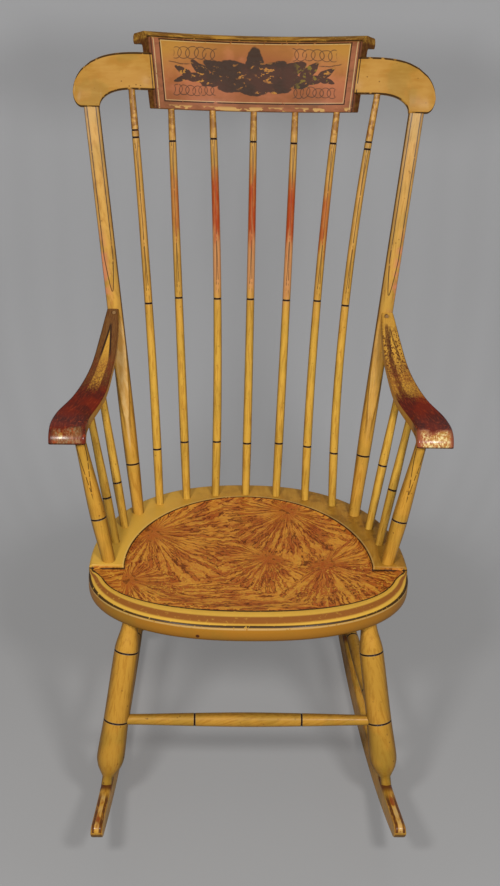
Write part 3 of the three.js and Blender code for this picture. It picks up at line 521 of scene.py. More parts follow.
def turned(name, start, end, diameters, rings, sides, pitch, bow=0.0):
    """Turned stick between two points: a disc drawn out and narrowed or widened station by station.

    diameters are (place, diameter) pairs along the stick, and rings the places of its scored lines.
    """
    pairs = sorted(diameters)
    places = turning_places(pairs, rings, pitch)

    def radius(place):
        return curved(pairs, place) / 2 - groove(place, rings)

    piece = start_disc(name, sides, radius(places[0]))
    for before, place in zip(places, places[1:]):
        draw_out(place - before, radius(place) / radius(before), place - places[0])
    bpy.ops.object.mode_set(mode="OBJECT")
    mesh = piece.data
    run = (end - start).normalized()
    turn = Vector((0, 0, 1)).rotation_difference(run).to_matrix().to_4x4()
    mesh.transform(Matrix.Translation(start + run * places[0]) @ turn)
    ahead = Vector((0, -1, 0.3))
    ahead = (ahead - run * ahead.dot(run)).normalized()
    sideways = run.cross(ahead)
    offsets = [vertex.co - start for vertex in mesh.vertices]
    spots = [Vector((o.dot(sideways), -o.dot(ahead), o.dot(run))) for o in offsets]
    keep_marks(mesh, "turned_place", spots)
    keep_score(mesh, [spot.z for spot in spots], rings)
    if bow:
        length = (end - start).length
        for vertex in mesh.vertices:
            share = clamp((vertex.co - start).dot(run) / length)
            vertex.co.x += bow * (1 - (2 * share - 1) ** 2)
    shade(piece)
    return piece


# Paint. A Number wraps a socket, so that sums of numbers add their Math nodes.


PAINT_SPECULAR, PAPER_SPECULAR, VARNISH_ROUGHNESS = 0.16, 0.1, 0.2
TINY = 1e-8


class Number:
    def __init__(self, paint, socket):
        self.paint, self.socket = paint, socket

    def _with(self, kind, *values, clamped=False):
        return self.paint.math(kind, self, *values, clamped=clamped)

    def __add__(self, other):
        return self._with("ADD", other)

    __radd__ = __add__

    def __sub__(self, other):
        return self._with("SUBTRACT", other)

    def __rsub__(self, other):
        return self.paint.math("SUBTRACT", other, self)

    def __mul__(self, other):
        return self._with("MULTIPLY", other)

    __rmul__ = __mul__

    def __truediv__(self, other):
        return self._with("DIVIDE", other)

    def __rtruediv__(self, other):
        return self.paint.math("DIVIDE", other, self)

    def __pow__(self, other):
        return self._with("POWER", other)

    def __lt__(self, other):
        return self._with("LESS_THAN", other)

    def size(self):
        return self._with("ABSOLUTE")

    def lowest(self, other):
        return self._with("MINIMUM", other)

    def highest(self, other):
        return self._with("MAXIMUM", other)

    def within(self):
        return self._with("ADD", 0, clamped=True)

    def rise(self, low, high):
        """From 0 at low to 1 at high, eased at both ends."""
        return self.paint.node(
            "ShaderNodeMapRange",
            {"interpolation_type": "SMOOTHSTEP"},
            {"Value": self, "From Min": low, "From Max": high, "To Min": 0, "To Max": 1},
        )

    def fall(self, low, high):
        return 1 - self.rise(low, high)

    def window(self, middle, reach):
        """1 near a middle value, fading to 0 at its reach."""
        return (self - middle).size().fall(reach * 0.5, reach)

    def line(self, middle, width, soft=0.0004):
        """1 on a line where this number is middle, fading over soft at its edges."""
        return (self - middle).size().fall(width / 2 - soft / 2, width / 2 + soft / 2)


class Paint:
    """The node tree of a material or of the world, and the colour laid on so far."""

    def __init__(self, owner):
        self.owner = owner
        owner.use_nodes = True
        self.tree = owner.node_tree
        self.shader = self.tree.nodes.get("Principled BSDF")
        self.colours = sizes("paint")
        self.colour = None

    def link(self, value, socket):
        if isinstance(value, Number):
            value = value.socket
        if isinstance(value, bpy.types.NodeSocket):
            self.tree.links.new(value, socket)
        else:
            socket.default_value = value

    def node(self, kind, settings=None, values=None, output=0):
        """Adds a node, sets its settings, then the values or links of its sockets."""
        made = self.tree.nodes.new(kind)
        for name, value in (settings or {}).items():
            setattr(made, name, value)
        for name, value in (values or {}).items():
            self.link(value, made.inputs[name])
        found = made.outputs[output]
        return Number(self, found) if found.type == "VALUE" else found

    def math(self, kind, *values, clamped=False):
        settings = {"operation": kind, "use_clamp": clamped}
        return self.node("ShaderNodeMath", settings, dict(enumerate(values)))

    def place(self):
        """Object coordinates as a vector and as three numbers."""
        spot = self.node("ShaderNodeTexCoord", output="Object")
        return spot, *self.parts(spot)

    def mark(self, name):
        """A vector attribute of the mesh, and its three numbers."""
        spot = self.node("ShaderNodeAttribute", {"attribute_name": name}, output="Vector")
        return spot, *self.parts(spot)

    def level(self, name):
        return self.node("ShaderNodeAttribute", {"attribute_name": name}, output="Fac")

    def parts(self, vector):
        split = self.node("ShaderNodeSeparateXYZ", values={"Vector": vector}).socket.node
        return [Number(self, socket) for socket in split.outputs]

    def vector(self, x, y, z):
        return self.node("ShaderNodeCombineXYZ", values={"X": x, "Y": y, "Z": z})

    def scaled(self, vector, x, y, z):
        values = {0: vector, 1: (x, y, z)}
        return self.node("ShaderNodeVectorMath", {"operation": "MULTIPLY"}, values)

    def shifted(self, vector, other):
        return self.node("ShaderNodeVectorMath", {"operation": "ADD"}, {0: vector, 1: other})

    def noise(self, vector, scale, detail=3.0, roughness=0.55):
        values = {"Vector": vector, "Scale": scale, "Detail": detail, "Roughness": roughness}
        return self.node("ShaderNodeTexNoise", values=values)

    def wander(self, vector, scale):
        """Noise as a vector, to bend a pattern with."""
        return self.node("ShaderNodeTexNoise", values={"Vector": vector, "Scale": scale}, output=1)

    def speckle(self, vector, scale):
        """Distance to the nearest of many scattered points."""
        return self.node("ShaderNodeTexVoronoi", values={"Vector": vector, "Scale": scale})

    def mixed(self, first, second, share):
        """Colour between two colours by a share from 0 to 1."""
        return self.node(
            "ShaderNodeMix",
            {"data_type": "RGBA", "clamp_factor": True},
            {0: share, 6: first, 7: second},
            output=2,
        )

    def coat(self, colour, share):
        """Lays a colour over what is painted so far, by a share from 0 to 1."""
        self.colour = self.mixed(self.colour, colour, share)

    def raised(self, height, strength, distance):
        values = {"Height": height, "Strength": strength, "Distance": distance}
        return self.node("ShaderNodeBump", values=values)

    def done(self, roughness, normal=None, varnish=0.0):
        """Links the running colour and the rest to the shader, and gives the material."""
        ends = {
            "Base Color": self.colour,
            "Roughness": roughness,
            "Specular IOR Level": PAINT_SPECULAR,
            "Coat Weight": varnish,
            "Coat Roughness": VARNISH_ROUGHNESS,
        }
        if normal is not None:
            ends["Normal"] = normal
        for name, value in ends.items():
            self.link(value, self.shader.inputs[name])
        return self.owner


def painted(name, maker):
    """The material of that name, made once."""
    return bpy.data.materials.get(name) or maker(Paint(bpy.data.materials.new(name)))


def stick_streaks(paint, spot, place, scale, stretch=0.1):
    """Streaks that run along a turning and differ from one stick to the next."""
    across = paint.scaled(spot, 1, 1, stretch)
    return paint.noise(paint.shifted(across, paint.scaled(place, 0.4, 0.4, 0)), scale, 4, 0.6)


def turned_ochre(paint, spot, place, dirt=0.5):
    """Ages the paint of a turning by streaks, clouds and specks, paints shade on its sides and back, and
    blackens its scored rings with a painted highlight beside them.

    Gives its roughness and its height, each for the caller to go on with.
    """
    colours = paint.colours
    streaks = stick_streaks(paint, spot, place, 260)
    clouds = paint.noise(place, 16, 2)
    paint.coat(colours.ochre_shade, streaks.rise(0.46, 0.66) * 0.6)
    paint.coat(colours.olive, clouds.rise(0.45, 0.62) * 0.34 * dirt)
    specks = paint.speckle(paint.shifted(place, paint.scaled(spot, 0.1, 0.1, 0.1)), 105)
    faint = paint.noise(place, 60, 2).rise(0.5, 0.62)
    marked = specks.fall(0.1, 0.22) * faint * dirt
    paint.coat(colours.grime_and_shade, marked * 0.8)
    side, rear, _ = paint.parts(spot)
    # Painted shade: the sides and back of each turning are darkened, and its front, turned to the lamps,
    # is left bright.
    rubbed_and_front_lit = (rear * -1 / (side * side + rear * rear).highest(TINY) ** 0.5).rise(0.25, 0.97)
    paint.coat(colours.grime_and_shade, (1 - rubbed_and_front_lit) * (0.32 + streaks * 0.5))
    score = paint.level("score")
    # Painted highlight: a thin cream fringe along both edges of each scored ring.
    paint.coat(colours.cream_and_highlight, score.rise(0.0, 0.1) * 0.4)
    paint.coat(colours.scored, score.rise(0.12, 0.4))
    height = streaks * 0.4 - marked * 0.3 + paint.noise(place, 420, 2) * 0.2
    rough = 0.3 + streaks * 0.14 + marked * 0.2 + clouds * 0.06
    return rough, height


RUST_HEIGHT, FINE_LINES_HEIGHT, FINE_LINES_REACH, FINE_LINES_SPREAD = mm(868, 862, 130, 2.1)


def spindle_paint(paint):
    """Ochre of the long and short spindles, worn to rust red where backs have leant."""
    colours = paint.colours
    place, x, _, z = paint.place()
    spot, side, rear, _ = paint.mark("turned_place")
    paint.colour = paint.mixed(colours.ochre, colours.band, z.fall(0.6, 0.76) * 0.9)
    paint.coat(colours.ochre_pale, z.rise(0.62, 0.86) * 0.95)
    rough, height = turned_ochre(paint, spot, place)

    streaks = stick_streaks(paint, spot, place, 150, 0.16)
    front = (rear * -1).rise(0.0005, 0.0045)
    leant = z - (RUST_HEIGHT - x * 0.1) + (streaks - 0.5) * 0.1
    reach = 0.072 - x.size() * 0.12
    where = x.size().fall(0.1, 0.16) * mix(0.25, 1, front)
    rust = (leant.size() / reach).fall(0.4, 1.15) * where * mix(0.7, 1, streaks.rise(0.36, 0.56))
    faded = ((leant + 0.08) / 0.08).size().fall(0.5, 1.1) * where * x.size().fall(0.08, 0.12)
    pink = paint.mixed(colours.rose, colours.bare_pale, 0.3)
    paint.coat(pink, faded * 0.75)
    paint.coat(colours.rust, rust)
    paint.coat(colours.scored, paint.level("score").rise(0.12, 0.4))
    rubbed_and_front_lit = paint.noise(place, 130, 3).rise(0.42, 0.56) * z.rise(0.975, 1.0)
    paint.coat(colours.grain_mid, rubbed_and_front_lit * 0.35)
    paint.coat(colours.grime_and_shade, rubbed_and_front_lit * 0.45)

    spread = ((z - FINE_LINES_HEIGHT).size() / FINE_LINES_REACH) ** 2 * FINE_LINES_SPREAD
    fine = side.size().line(spread, 0.0012, 0.0006) * rear.fall(-0.0015, 0.0)
    upper = z.rise(0.72, 0.735) * z.fall(0.97, 0.985)
    broken = paint.noise(spot, 90, 1).rise(0.3, 0.4)
    paint.coat(colours.scored, fine * upper * broken * 0.75 * (1 - rust * 0.6))
    worn = rust * 0.5 + faded * 0.2
    return paint.done((rough - worn * 0.1).within(), paint.raised(height, 0.3, 0.0006), 0.15)


def leg_paint(paint):
    """Ochre of legs and stretchers, with brown specks towards the floor."""
    colours = paint.colours
    place, _, _, z = paint.place()
    spot, *_ = paint.mark("turned_place")
    paint.colour = paint.mixed(colours.ochre, colours.ochre_shade, z.fall(0.08, 0.4) * 0.1 + 0.28)
    paint.coat(colours.olive, z.fall(0.03, 0.24) * 0.22)
    dusty = 0.35 + z.fall(0.05, 0.3) * 0.9
    rough, height = turned_ochre(paint, spot, place, dusty)
    joint = z.fall(0.045, 0.075) * paint.noise(place, 120, 3).rise(0.35, 0.6)
    paint.coat(colours.rocker_dark, joint * 0.85)
    return paint.done(rough + 0.04, paint.raised(height, 0.35, 0.0008), 0.1)


def support_paint(paint):
    """Ochre of the arm supports, with two fine dark strokes that meet over the ring."""
    colours = paint.colours
    place, *_ = paint.place()
    spot, side, rear, run = paint.mark("turned_place")
    paint.colour = paint.mixed(colours.ochre, colours.ochre_shade, paint.noise(place, 20, 2) * 0.5)
    rough, height = turned_ochre(paint, spot, place, 0.7)
    spread = run.rise(0.11, 0.2) * 0.0065
    strokes = side.size().line(spread, 0.0012, 0.0006) * rear.fall(-0.004, 0.001)
    strokes = strokes * run.rise(0.105, 0.125) * paint.noise(spot, 110, 2).rise(0.36, 0.46)
    paint.coat(colours.scored, strokes * 0.9)
    return paint.done(rough, paint.raised(height, 0.3, 0.0006), 0.12)


def post_paint(paint):
    """Ochre of the back posts, striped on their flats, faded to rose near the arms, with a painted
    highlight on each flat under them.
    """
    colours = paint.colours
    back = sizes("back")
    place, x, *_ = paint.place()
    spot, side, rear, run = paint.mark("post_place")
    paint.colour = paint.mixed(colours.ochre, colours.ochre_pale, run.rise(0.3, 0.6) * 0.45 + 0.1)
    rough, height = turned_ochre(paint, spot, place, 0.6)

    past_start = ((run - back.flat_start) / (back.flat_full - back.flat_start)).within()
    shaved = mix(back.post_width / 2, POST_FRONT_DEPTH, past_start)
    flat = (rear + shaved).fall(0.0002, 0.0006)
    # Painted highlight: a pale grained tone on the flat below the arm, stronger on the right post.
    flat_highlight = flat * run.fall(0.31, 0.36) * (side + 0.002).size().fall(0.006, 0.012)
    grain = stick_streaks(paint, spot, place, 180, 0.06)
    wood = paint.mixed(colours.bare_pale, colours.ochre_pale, grain.rise(0.4, 0.62))
    paint.coat(wood, flat_highlight * mix(0.3, 0.9, x.fall(-0.05, 0.05)))

    smudge = (run - 0.42).size().fall(0.02, 0.1) * side.rise(-0.004, 0.01)
    smudge = smudge * paint.noise(place, 45, 3).rise(0.4, 0.56)
    paint.coat(colours.rose, smudge * 0.8)

    spread = ((run - 0.387) / 0.06).within() ** 0.6 * 0.0072
    stripe = side.size().line(spread, 0.0015, 0.0007) * run.rise(0.386, 0.389) * flat
    broken = paint.noise(spot, 70, 2).rise(0.24, 0.34)
    ridge = (rear + shaved).line(0.0011, 0.0014, 0.0008) * run.fall(0.36, 0.4) * run.rise(0.13, 0.17)
    paint.coat(colours.grime_and_shade, ridge * 0.55)
    paint.coat(colours.scored, stripe * broken * 0.88)
    edge = side.size().rise(0.0112, 0.0121) * rear.fall(-0.002, 0.001) * run.rise(0.2, 0.26)
    paint.coat(colours.grime_and_shade, edge * (0.45 + broken * 0.35))
    return paint.done(rough + flat_highlight * 0.15, paint.raised(height, 0.3, 0.0006), 0.08)


def seat_fans(paint, x, y):
    """Direction and distance from the nearest of several fans of combed strokes.

    Each fan has its place on the seat in metres from the widest line, the direction that
    it opens to, a weight that makes it wider the smaller it is, and how close its strokes
    stand. The last one stands far off, so that its strokes run nearly level along the front.
    """
    fans = (
        (-0.162, 0.112, 0.8, -0.6, 0.62, 1.0),
        (0.072, 0.184, -0.2, -0.98, 0.8, 1.0),
        (0.127, 0.03, 0.75, -0.66, 0.95, 0.9),
        (-0.195, -0.033, 1.0, -0.05, 1.1, 0.9),
        (0.035, 0.05, -0.6, -0.8, 1.1, 0.8),
        (-0.62, -0.13, 1.0, 0.0, 0.175, 6.5),
    )
    nearest, aim = None, None
    for fan_x, fan_y, open_x, open_y, weight, close in fans:
        dx, dy = x - fan_x, y - fan_y
        reach = (dx * dx + dy * dy) ** 0.5
        turned_to = paint.vector(dx / reach * close, dy / reach * close, reach)
        behind = (dx * -open_x - dy * open_y).highest(0)
        wide = reach * weight + behind * 6
        aim = turned_to if aim is None else paint.mixed(aim, turned_to, wide < nearest)
        nearest = wide if nearest is None else wide.lowest(nearest)
    return aim


NAIL_X, NAIL_DROP = mm(-82, 23.5)


def seat_paint(paint):
    """Grained saddle, ochre deck and striped front band of the plank seat."""
    colours, seat = paint.colours, sizes("seat")
    place, x, object_y, z = paint.place()
    y = object_y - WIDEST_Y
    wide = x.size()
    drop = seat.height - y * math.tan(seat.pitch) - z

    # Combed graining of the saddle
    aim = seat_fans(paint, x, y)
    hub = paint.parts(aim)[2]
    ripple = paint.scaled(paint.wander(place, 75), 1.0, 1.0, 0)
    strokes = paint.noise(paint.shifted(paint.scaled(aim, 10, 10, 10), ripple), 1.8, 2, 0.5)
    fine = paint.noise(paint.shifted(paint.scaled(aim, 26, 26, 40), ripple), 1.2, 2, 0.5)
    clouds = paint.noise(place, 22, 3)
    mottled = paint.noise(place, 110, 3)
    tone = (strokes * 0.5 + fine * 0.2 + clouds * 0.3).rise(0.4, 0.58)
    paint.colour = paint.mixed(colours.grain_light, colours.grain_mid, tone)
    paint.coat(colours.grain_red, clouds.rise(0.46, 0.62) * 0.4)
    gaps = strokes.fall(0.4, 0.45)
    paint.coat(colours.grain_gap, gaps * fine.rise(0.4, 0.5) * 0.5)
    near = hub.fall(0.004, 0.04)
    dark = strokes.line(0.56, 0.06, 0.03) * fine.rise(0.3, 0.42) * (1 - near * 0.75)
    paint.coat(colours.grain_dark, dark * 0.8)
    hubs = paint.mixed(colours.grain_red, colours.grain_mid, mottled.rise(0.4, 0.6))
    paint.coat(hubs, near * 0.7)
    paint.coat(colours.grain_dark, mottled.rise(0.56, 0.62) * (0.25 + near * 0.4))
    scuffs = paint.noise(place, 260, 3).rise(0.56, 0.62) * paint.noise(place, 26, 2).rise(0.44, 0.58)
    paint.coat(colours.grain_gap, scuffs * 0.85 * mix(0.25, 1, y.fall(0.0, 0.07)))
    grained = paint.colour

    # Ochre of the deck, the band and the edges, with painted light and shade across the deck and painted
    # shade down the front edge
    grain = paint.noise(paint.scaled(place, 1, 0.2, 1), 130, 4)
    tone = paint.noise(place, 14, 3)
    on_deck = y.rise(-0.01, 0.01) * drop.fall(0.006, 0.01)
    shaded = (grain * 0.5 + tone * 0.5).rise(0.3, 0.62)
    # Painted shade: on the deck the darker ochre grows towards the sitter's left, and the front edge
    # darkens below the band.
    shaded = shaded * mix(1, x.rise(-0.25, 0.2) * 0.85, on_deck) + drop.rise(0.0095, 0.013) * 0.95
    paint.colour = paint.mixed(colours.ochre, colours.ochre_shade, shaded.within())
    paint.coat(colours.olive, tone.rise(0.5, 0.66) * 0.25)
    # Painted light: the band's ochre lightens the deck towards the sitter's right.
    paint.coat(colours.band, on_deck * x.fall(-0.22, -0.05) * 0.9)
    # Painted shade on the deck towards the sitter's left, mottled by noise.
    grime_and_shade = paint.noise(place, 50, 4).rise(0.5, 0.64) * y.rise(-0.01, 0.06)
    paint.coat(colours.grime_and_shade, (grime_and_shade * 0.3 + 0.3) * x.rise(-0.25, 0.25) * y.rise(-0.01, 0.02))
    ochre = paint.colour

    # Ovals: the saddle's back edge, the band's inner line and the rim
    saddle_half, saddle_back = seat.saddle_half_width, seat.saddle_back_reach
    saddle = ((x / saddle_half) ** 2 + (y / saddle_back) ** 2) ** 0.5
    beyond = (saddle - 1) * ((saddle_half + saddle_back) / 2)
    ahead = y.fall(-0.0005, 0.0005)

    def oval(half_width, reach):
        power = seat.squareness
        return ((wide / half_width) ** power + ((y * -1).highest(0) / reach) ** power) ** (1 / power)

    front = SEAT_FRONT_REACH
    ogee = (y * -1).fall(0.001, 0.034) * (seat.band_side * 0.72)
    inner = oval(ogee + (seat.half_width - seat.band_side), front - seat.band_front)
    outer = oval(seat.half_width, front)
    reach = (x * x + y * y) ** 0.5
    past_line = reach * (1 - 1 / inner)
    to_rim = (reach * (1 / outer - 1)).highest(0.0001)
    band = past_line / (past_line + to_rim).highest(0.0001)

    dished = (beyond.fall(-0.001, 0) * (1 - ahead) + past_line.fall(-0.0005, 0.0005) * ahead).within()
    grained_share = dished * drop.fall(0.022, 0.026)
    paint.coat(grained, grained_share)

    worn = paint.noise(place, 190, 3).rise(0.3, 0.4)
    sunny = paint.mixed(ochre, colours.band, 0.85)
    facing = (y * -1).rise(0.03, 0.13)
    in_band = past_line.rise(-0.0005, 0.0005) * ahead * drop.fall(0.01, 0.0125)
    stripe = band.line(mix(0.5, 0.6, facing), mix(0.28, 0.36, facing), 0.12)
    banded = paint.mixed(sunny, colours.stripe, stripe * (0.55 + worn * 0.4))
    paint.coat(banded, in_band)
    rim_line = drop - seat.step
    by_rim = band.rise(0.7, 0.76) * ahead
    paint.coat(colours.cream_and_highlight, rim_line.line(0.0058, 0.002, 0.0014) * by_rim * worn * 0.3)
    rim_dark = rim_line.line(0.0029, mix(0.0042, 0.0026, facing), 0.0008) * by_rim
    inner_dark = past_line.line(0, mix(0.0032, 0.0056, facing), 0.001) * ahead
    paint.coat(colours.scored, rim_dark.highest(inner_dark) * worn * 0.95)

    above = z.rise(0.33, 0.35) * drop.fall(0.02, 0.022)
    line = beyond.line(-0.0002, 0.0018, 0.0006) * (1 - ahead) * above * worn
    pale = beyond.line(0.002, 0.0022, 0.0012) * (1 - ahead) * above
    paint.coat(colours.cream_and_highlight, pale * 0.2)
    paint.coat(colours.scored, line * 0.95)
    foot = drop.line(seat.step - 0.0006, 0.0024, 0.0008) * y.line(0, 0.006, 0.002)
    foot = foot * wide.rise(saddle_half - 0.004, saddle_half)
    paint.coat(colours.scored, foot * 0.9)

    # A nail's dark head on the front edge, and painted shade towards the underside
    low = z - (seat.height - NAIL_DROP)
    nail = ((x - NAIL_X) ** 2 + low**2) ** 0.5
    paint.coat(colours.grain_dark, nail.fall(0.0022, 0.0036) * ahead * drop.rise(0.012, 0.014))
    paint.coat(colours.grime_and_shade, drop.rise(0.02, 0.038) * 0.5)

    height = grained_share * (dark * -0.5 + gaps * 0.4) + grain * 0.25 + line * -0.6
    rough = 0.36 + tone * 0.12 + scuffs * 0.12 - grained_share * 0.04
    return paint.done(rough, paint.raised(height, 0.35, 0.0008), 0.06)


def leaf(x, y, middle, half_length, half_width, degrees):
    """How far a spot lies out of a leaf: under 1 inside it."""
    turn = math.radians(degrees)
    dx, dy = x - middle[0], y - middle[1]
    along_it = dx * math.cos(turn) + dy * math.sin(turn)
    over_it = dy * math.cos(turn) - dx * math.sin(turn)
    taper = 1 + (along_it / half_length) * 0.35
    return ((along_it / half_length) ** 2 + (over_it / half_width * taper) ** 2) ** 0.5


def tablet_paint(paint):
    """Salmon field with a framed spray of leaves, under an ochre roll."""
    colours, crest = paint.colours, sizes("crest")
    place, *_ = paint.place()
    spot, x, y, depth = paint.mark("face_place")
    wide = x.size()
    flare = (crest.half_width_top - crest.half_width_bottom) / crest.height
    from_end = crest.half_width_bottom + y * flare - wide

    streaks = paint.noise(paint.scaled(place, 0.16, 1, 1), 150, 4)
    clouds = paint.noise(place, 20, 3)
    wear = paint.noise(place, 170, 4)
    sound = wear.rise(0.3, 0.4)

    # Ochre of the roll, the back and the ends
    paint.colour = paint.mixed(colours.ochre, colours.ochre_shade, streaks.rise(0.3, 0.62))
    paint.coat(colours.grime_and_shade, (clouds * 0.5 + streaks * 0.5).rise(0.36, 0.58) * 0.6)
    rubbed_and_front_lit = wear.rise(0.58, 0.68) * y.rise(0.1, 0.112)
    paint.coat(colours.ochre_pale, rubbed_and_front_lit * 0.6)
    ends = from_end.fall(0.0004, 0.0014) * y.fall(0.107, 0.112)
    paint.coat(colours.grain_dark, ends * 0.75)
    ochre = paint.colour

    # Field and border
    paint.colour = paint.mixed(colours.salmon, colours.rose, clouds.rise(0.4, 0.6) * 0.6)
    corner = (wide / 0.14).within() ** 2 * y.rise(0.03, 0.1)
    paint.coat(colours.gold, (corner * 0.85 + y.rise(0.07, 0.108) * 0.35).within())
    paint.coat(colours.mauve, y.fall(0.012, 0.05) * 0.35 + streaks.rise(0.5, 0.7) * 0.15)
    inset, low, high = mm(13.5, 12, 107)
    run = from_end.lowest(y + inset - low).lowest((y * -1) + high + inset)
    outside = run.fall(inset - 0.0005, inset + 0.0005)
    border = paint.mixed(colours.mauve, colours.rose, clouds.rise(0.35, 0.65) * 0.4)
    border = paint.mixed(border, colours.grime_and_shade, streaks.rise(0.5, 0.66) * 0.3)
    paint.coat(border, outside)

    # Loops of penwork
    sway = paint.shifted(spot, paint.scaled(paint.wander(place, 24), 0.011, 0.011, 0))
    pen_x, pen_y, _ = paint.parts(sway)
    pen_wide, pen_y = (pen_x - 0.0055).size(), pen_y - 0.0055
    loops = None
    for row, start, tall in ((0.088, 0.062, 0.0095), (0.03, 0.072, 0.0078)):
        for phase in (0, 1):
            gap = tall * 1.35
            cell = (pen_wide - start + phase * gap) / (2 * gap)
            inside = paint.math("FRACT", cell) * 2 * gap - gap
            ring = (inside**2 + (pen_y - row) ** 2) ** 0.5
            loop = ring.line(tall, 0.0013, 0.0008)
            loops = loop if loops is None else loops.highest(loop)
    tails = (pen_y - 0.0765 - paint.math("SINE", pen_wide * 42) * 0.006).line(0, 0.0016, 0.0008)
    within = pen_wide.rise(0.06, 0.064) * pen_wide.fall(0.128, 0.132)
    loops = (loops * within).highest(tails * pen_wide.rise(0.1, 0.11) * pen_wide.fall(0.136, 0.14))
    paint.coat(colours.spray, loops * sound * 0.75)

    # Spray: a low bunch of round leaves, with long leaves drooping to both sides
    warp = paint.shifted(spot, paint.scaled(paint.wander(place, 70), 0.007, 0.007, 0))
    leaf_x, leaf_y, _ = paint.parts(warp)
    leaf_x, leaf_y = (leaf_x - 0.0035).size() * 0.93, (leaf_y - 0.059) * 0.88 + 0.0545
    shapes = (
        ((0.0, 0.066), 0.03, 0.017, 90),
        ((0.026, 0.06), 0.027, 0.015, 28),
        ((0.03, 0.043), 0.028, 0.013, -14),
        ((0.008, 0.042), 0.022, 0.016, 0),
        ((0.057, 0.064), 0.023, 0.0105, 22),
        ((0.061, 0.048), 0.022, 0.01, -16),
        ((0.082, 0.062), 0.018, 0.0075, 38),
        ((0.088, 0.05), 0.019, 0.007, 2),
        ((0.106, 0.058), 0.016, 0.0055, 30),
        ((0.108, 0.048), 0.013, 0.004, -14),
    )
    spray = None
    for middle, half_length, half_width, degrees in shapes:
        shape = leaf(leaf_x, leaf_y, middle, half_length, half_width, degrees)
        spray = shape if spray is None else spray.lowest(shape)
    veins = paint.noise(paint.scaled(place, 1, 1, 2.4), 160, 2)
    leaves = spray.fall(0.9, 1.0)
    dark = paint.mixed(colours.spray, colours.scored, veins.rise(0.45, 0.7) * 0.4)
    dark = paint.mixed(dark, colours.spray_plum, clouds.rise(0.45, 0.6) * 0.45)
    glint = paint.noise(place, 130, 3).rise(0.55, 0.62) * x.window(0.095, 0.035)
    dark = paint.mixed(dark, colours.olive, glint * 0.8)
    chips = paint.noise(paint.scaled(place, 0.55, 1, 1), 190, 3).rise(0.58, 0.62)
    chips = chips * paint.noise(place, 26, 2).rise(0.46, 0.56) * y.fall(0.06, 0.085)
    paint.coat(dark, leaves * (1 - chips) * 0.94)
    paint.coat(colours.gold, chips * leaves * 0.85)

    # Lines of the frame, then chips along the lower edge
    paint.coat(colours.cream_and_highlight, run.line(inset + 0.0018, 0.001, 0.0008) * sound * 0.45)
    paint.coat(colours.scored, run.line(inset, 0.002, 0.0007) * sound * 0.92)
    paint.coat(colours.cream_and_highlight, from_end.line(0.0042, 0.0012, 0.0008) * sound * 0.5)
    paint.coat(colours.scored, from_end.line(0.0006, 0.002, 0.0008) * 0.8)
    chipped = paint.noise(paint.scaled(place, 0.45, 1, 1), 85, 3).rise(0.52, 0.55) * y.fall(0.004, 0.008)
    paint.coat(paint.mixed(colours.gold, colours.bare_pale, 0.6), chipped * 0.85)

    in_front = depth.fall(0.004, 0.008) * y.fall(high + 0.001, high + 0.003)
    paint.colour = paint.mixed(ochre, paint.colour, in_front)
    brow = y.line(high + 0.0038, 0.0024, 0.0008) * depth.fall(0.01, 0.012) * sound
    paint.coat(colours.scored, brow * 0.85)
    height = streaks * 0.3 + (leaves * 0.25 - chips * 0.5 - chipped * 0.6) * in_front
    rough = 0.52 + clouds * 0.14 + chips * 0.1
    return paint.done(rough, paint.raised(height, 0.3, 0.0006), 0.02)


def ear_paint(paint):
    """Ochre of the crest's ears, outlined in black along their rounded edges."""
    colours, crest = paint.colours, sizes("crest")
    place, *_ = paint.place()
    _, x, y, depth = paint.mark("face_place")
    wide = x.size()
    grain = paint.noise(paint.scaled(place, 0.25, 1, 1), 140, 4)
    clouds = paint.noise(place, 18, 3)
    paint.colour = paint.mixed(colours.ear, colours.ochre_shade, grain.rise(0.35, 0.62) * 0.5)
    paint.coat(colours.ochre_pale, clouds.rise(0.48, 0.62) * 0.35)
    paint.coat(colours.olive, clouds.fall(0.36, 0.48) * 0.25)
    specks = paint.speckle(place, 120).fall(0.08, 0.2) * paint.noise(place, 55, 2).rise(0.5, 0.6)
    paint.coat(colours.grime_and_shade, specks * 0.7)
    sound = paint.noise(place, 90, 3).rise(0.36, 0.46)
    _, over_foot, under_top, _ = paint.mark("ear_edges")
    edge = over_foot.line(0.001, 0.0028, 0.0008).highest(under_top.line(0.002, 0.003, 0.0008))
    outer_line = depth.line(0.0034, 0.0022, 0.0008) * wide.rise(0.26, 0.27)
    edge = (edge * depth.fall(0.006, 0.008)).highest(outer_line)
    paint.coat(colours.scored, edge * sound * 0.9)
    flare = (crest.half_width_top - crest.half_width_bottom) / crest.height
    beside = wide - y * flare - crest.half_width_bottom
    paint.coat(colours.scored, beside.line(0.0032, 0.0014, 0.0006) * sound)
    chips = paint.noise(place, 110, 3).rise(0.6, 0.66) * depth.rise(0.003, 0.004)
    paint.coat(colours.bare_pale, chips * 0.6)
    rough = 0.5 + clouds * 0.14 + specks * 0.1
    return paint.done(rough, paint.raised(grain * 0.4 + specks * -0.3, 0.3, 0.0006), 0.03)


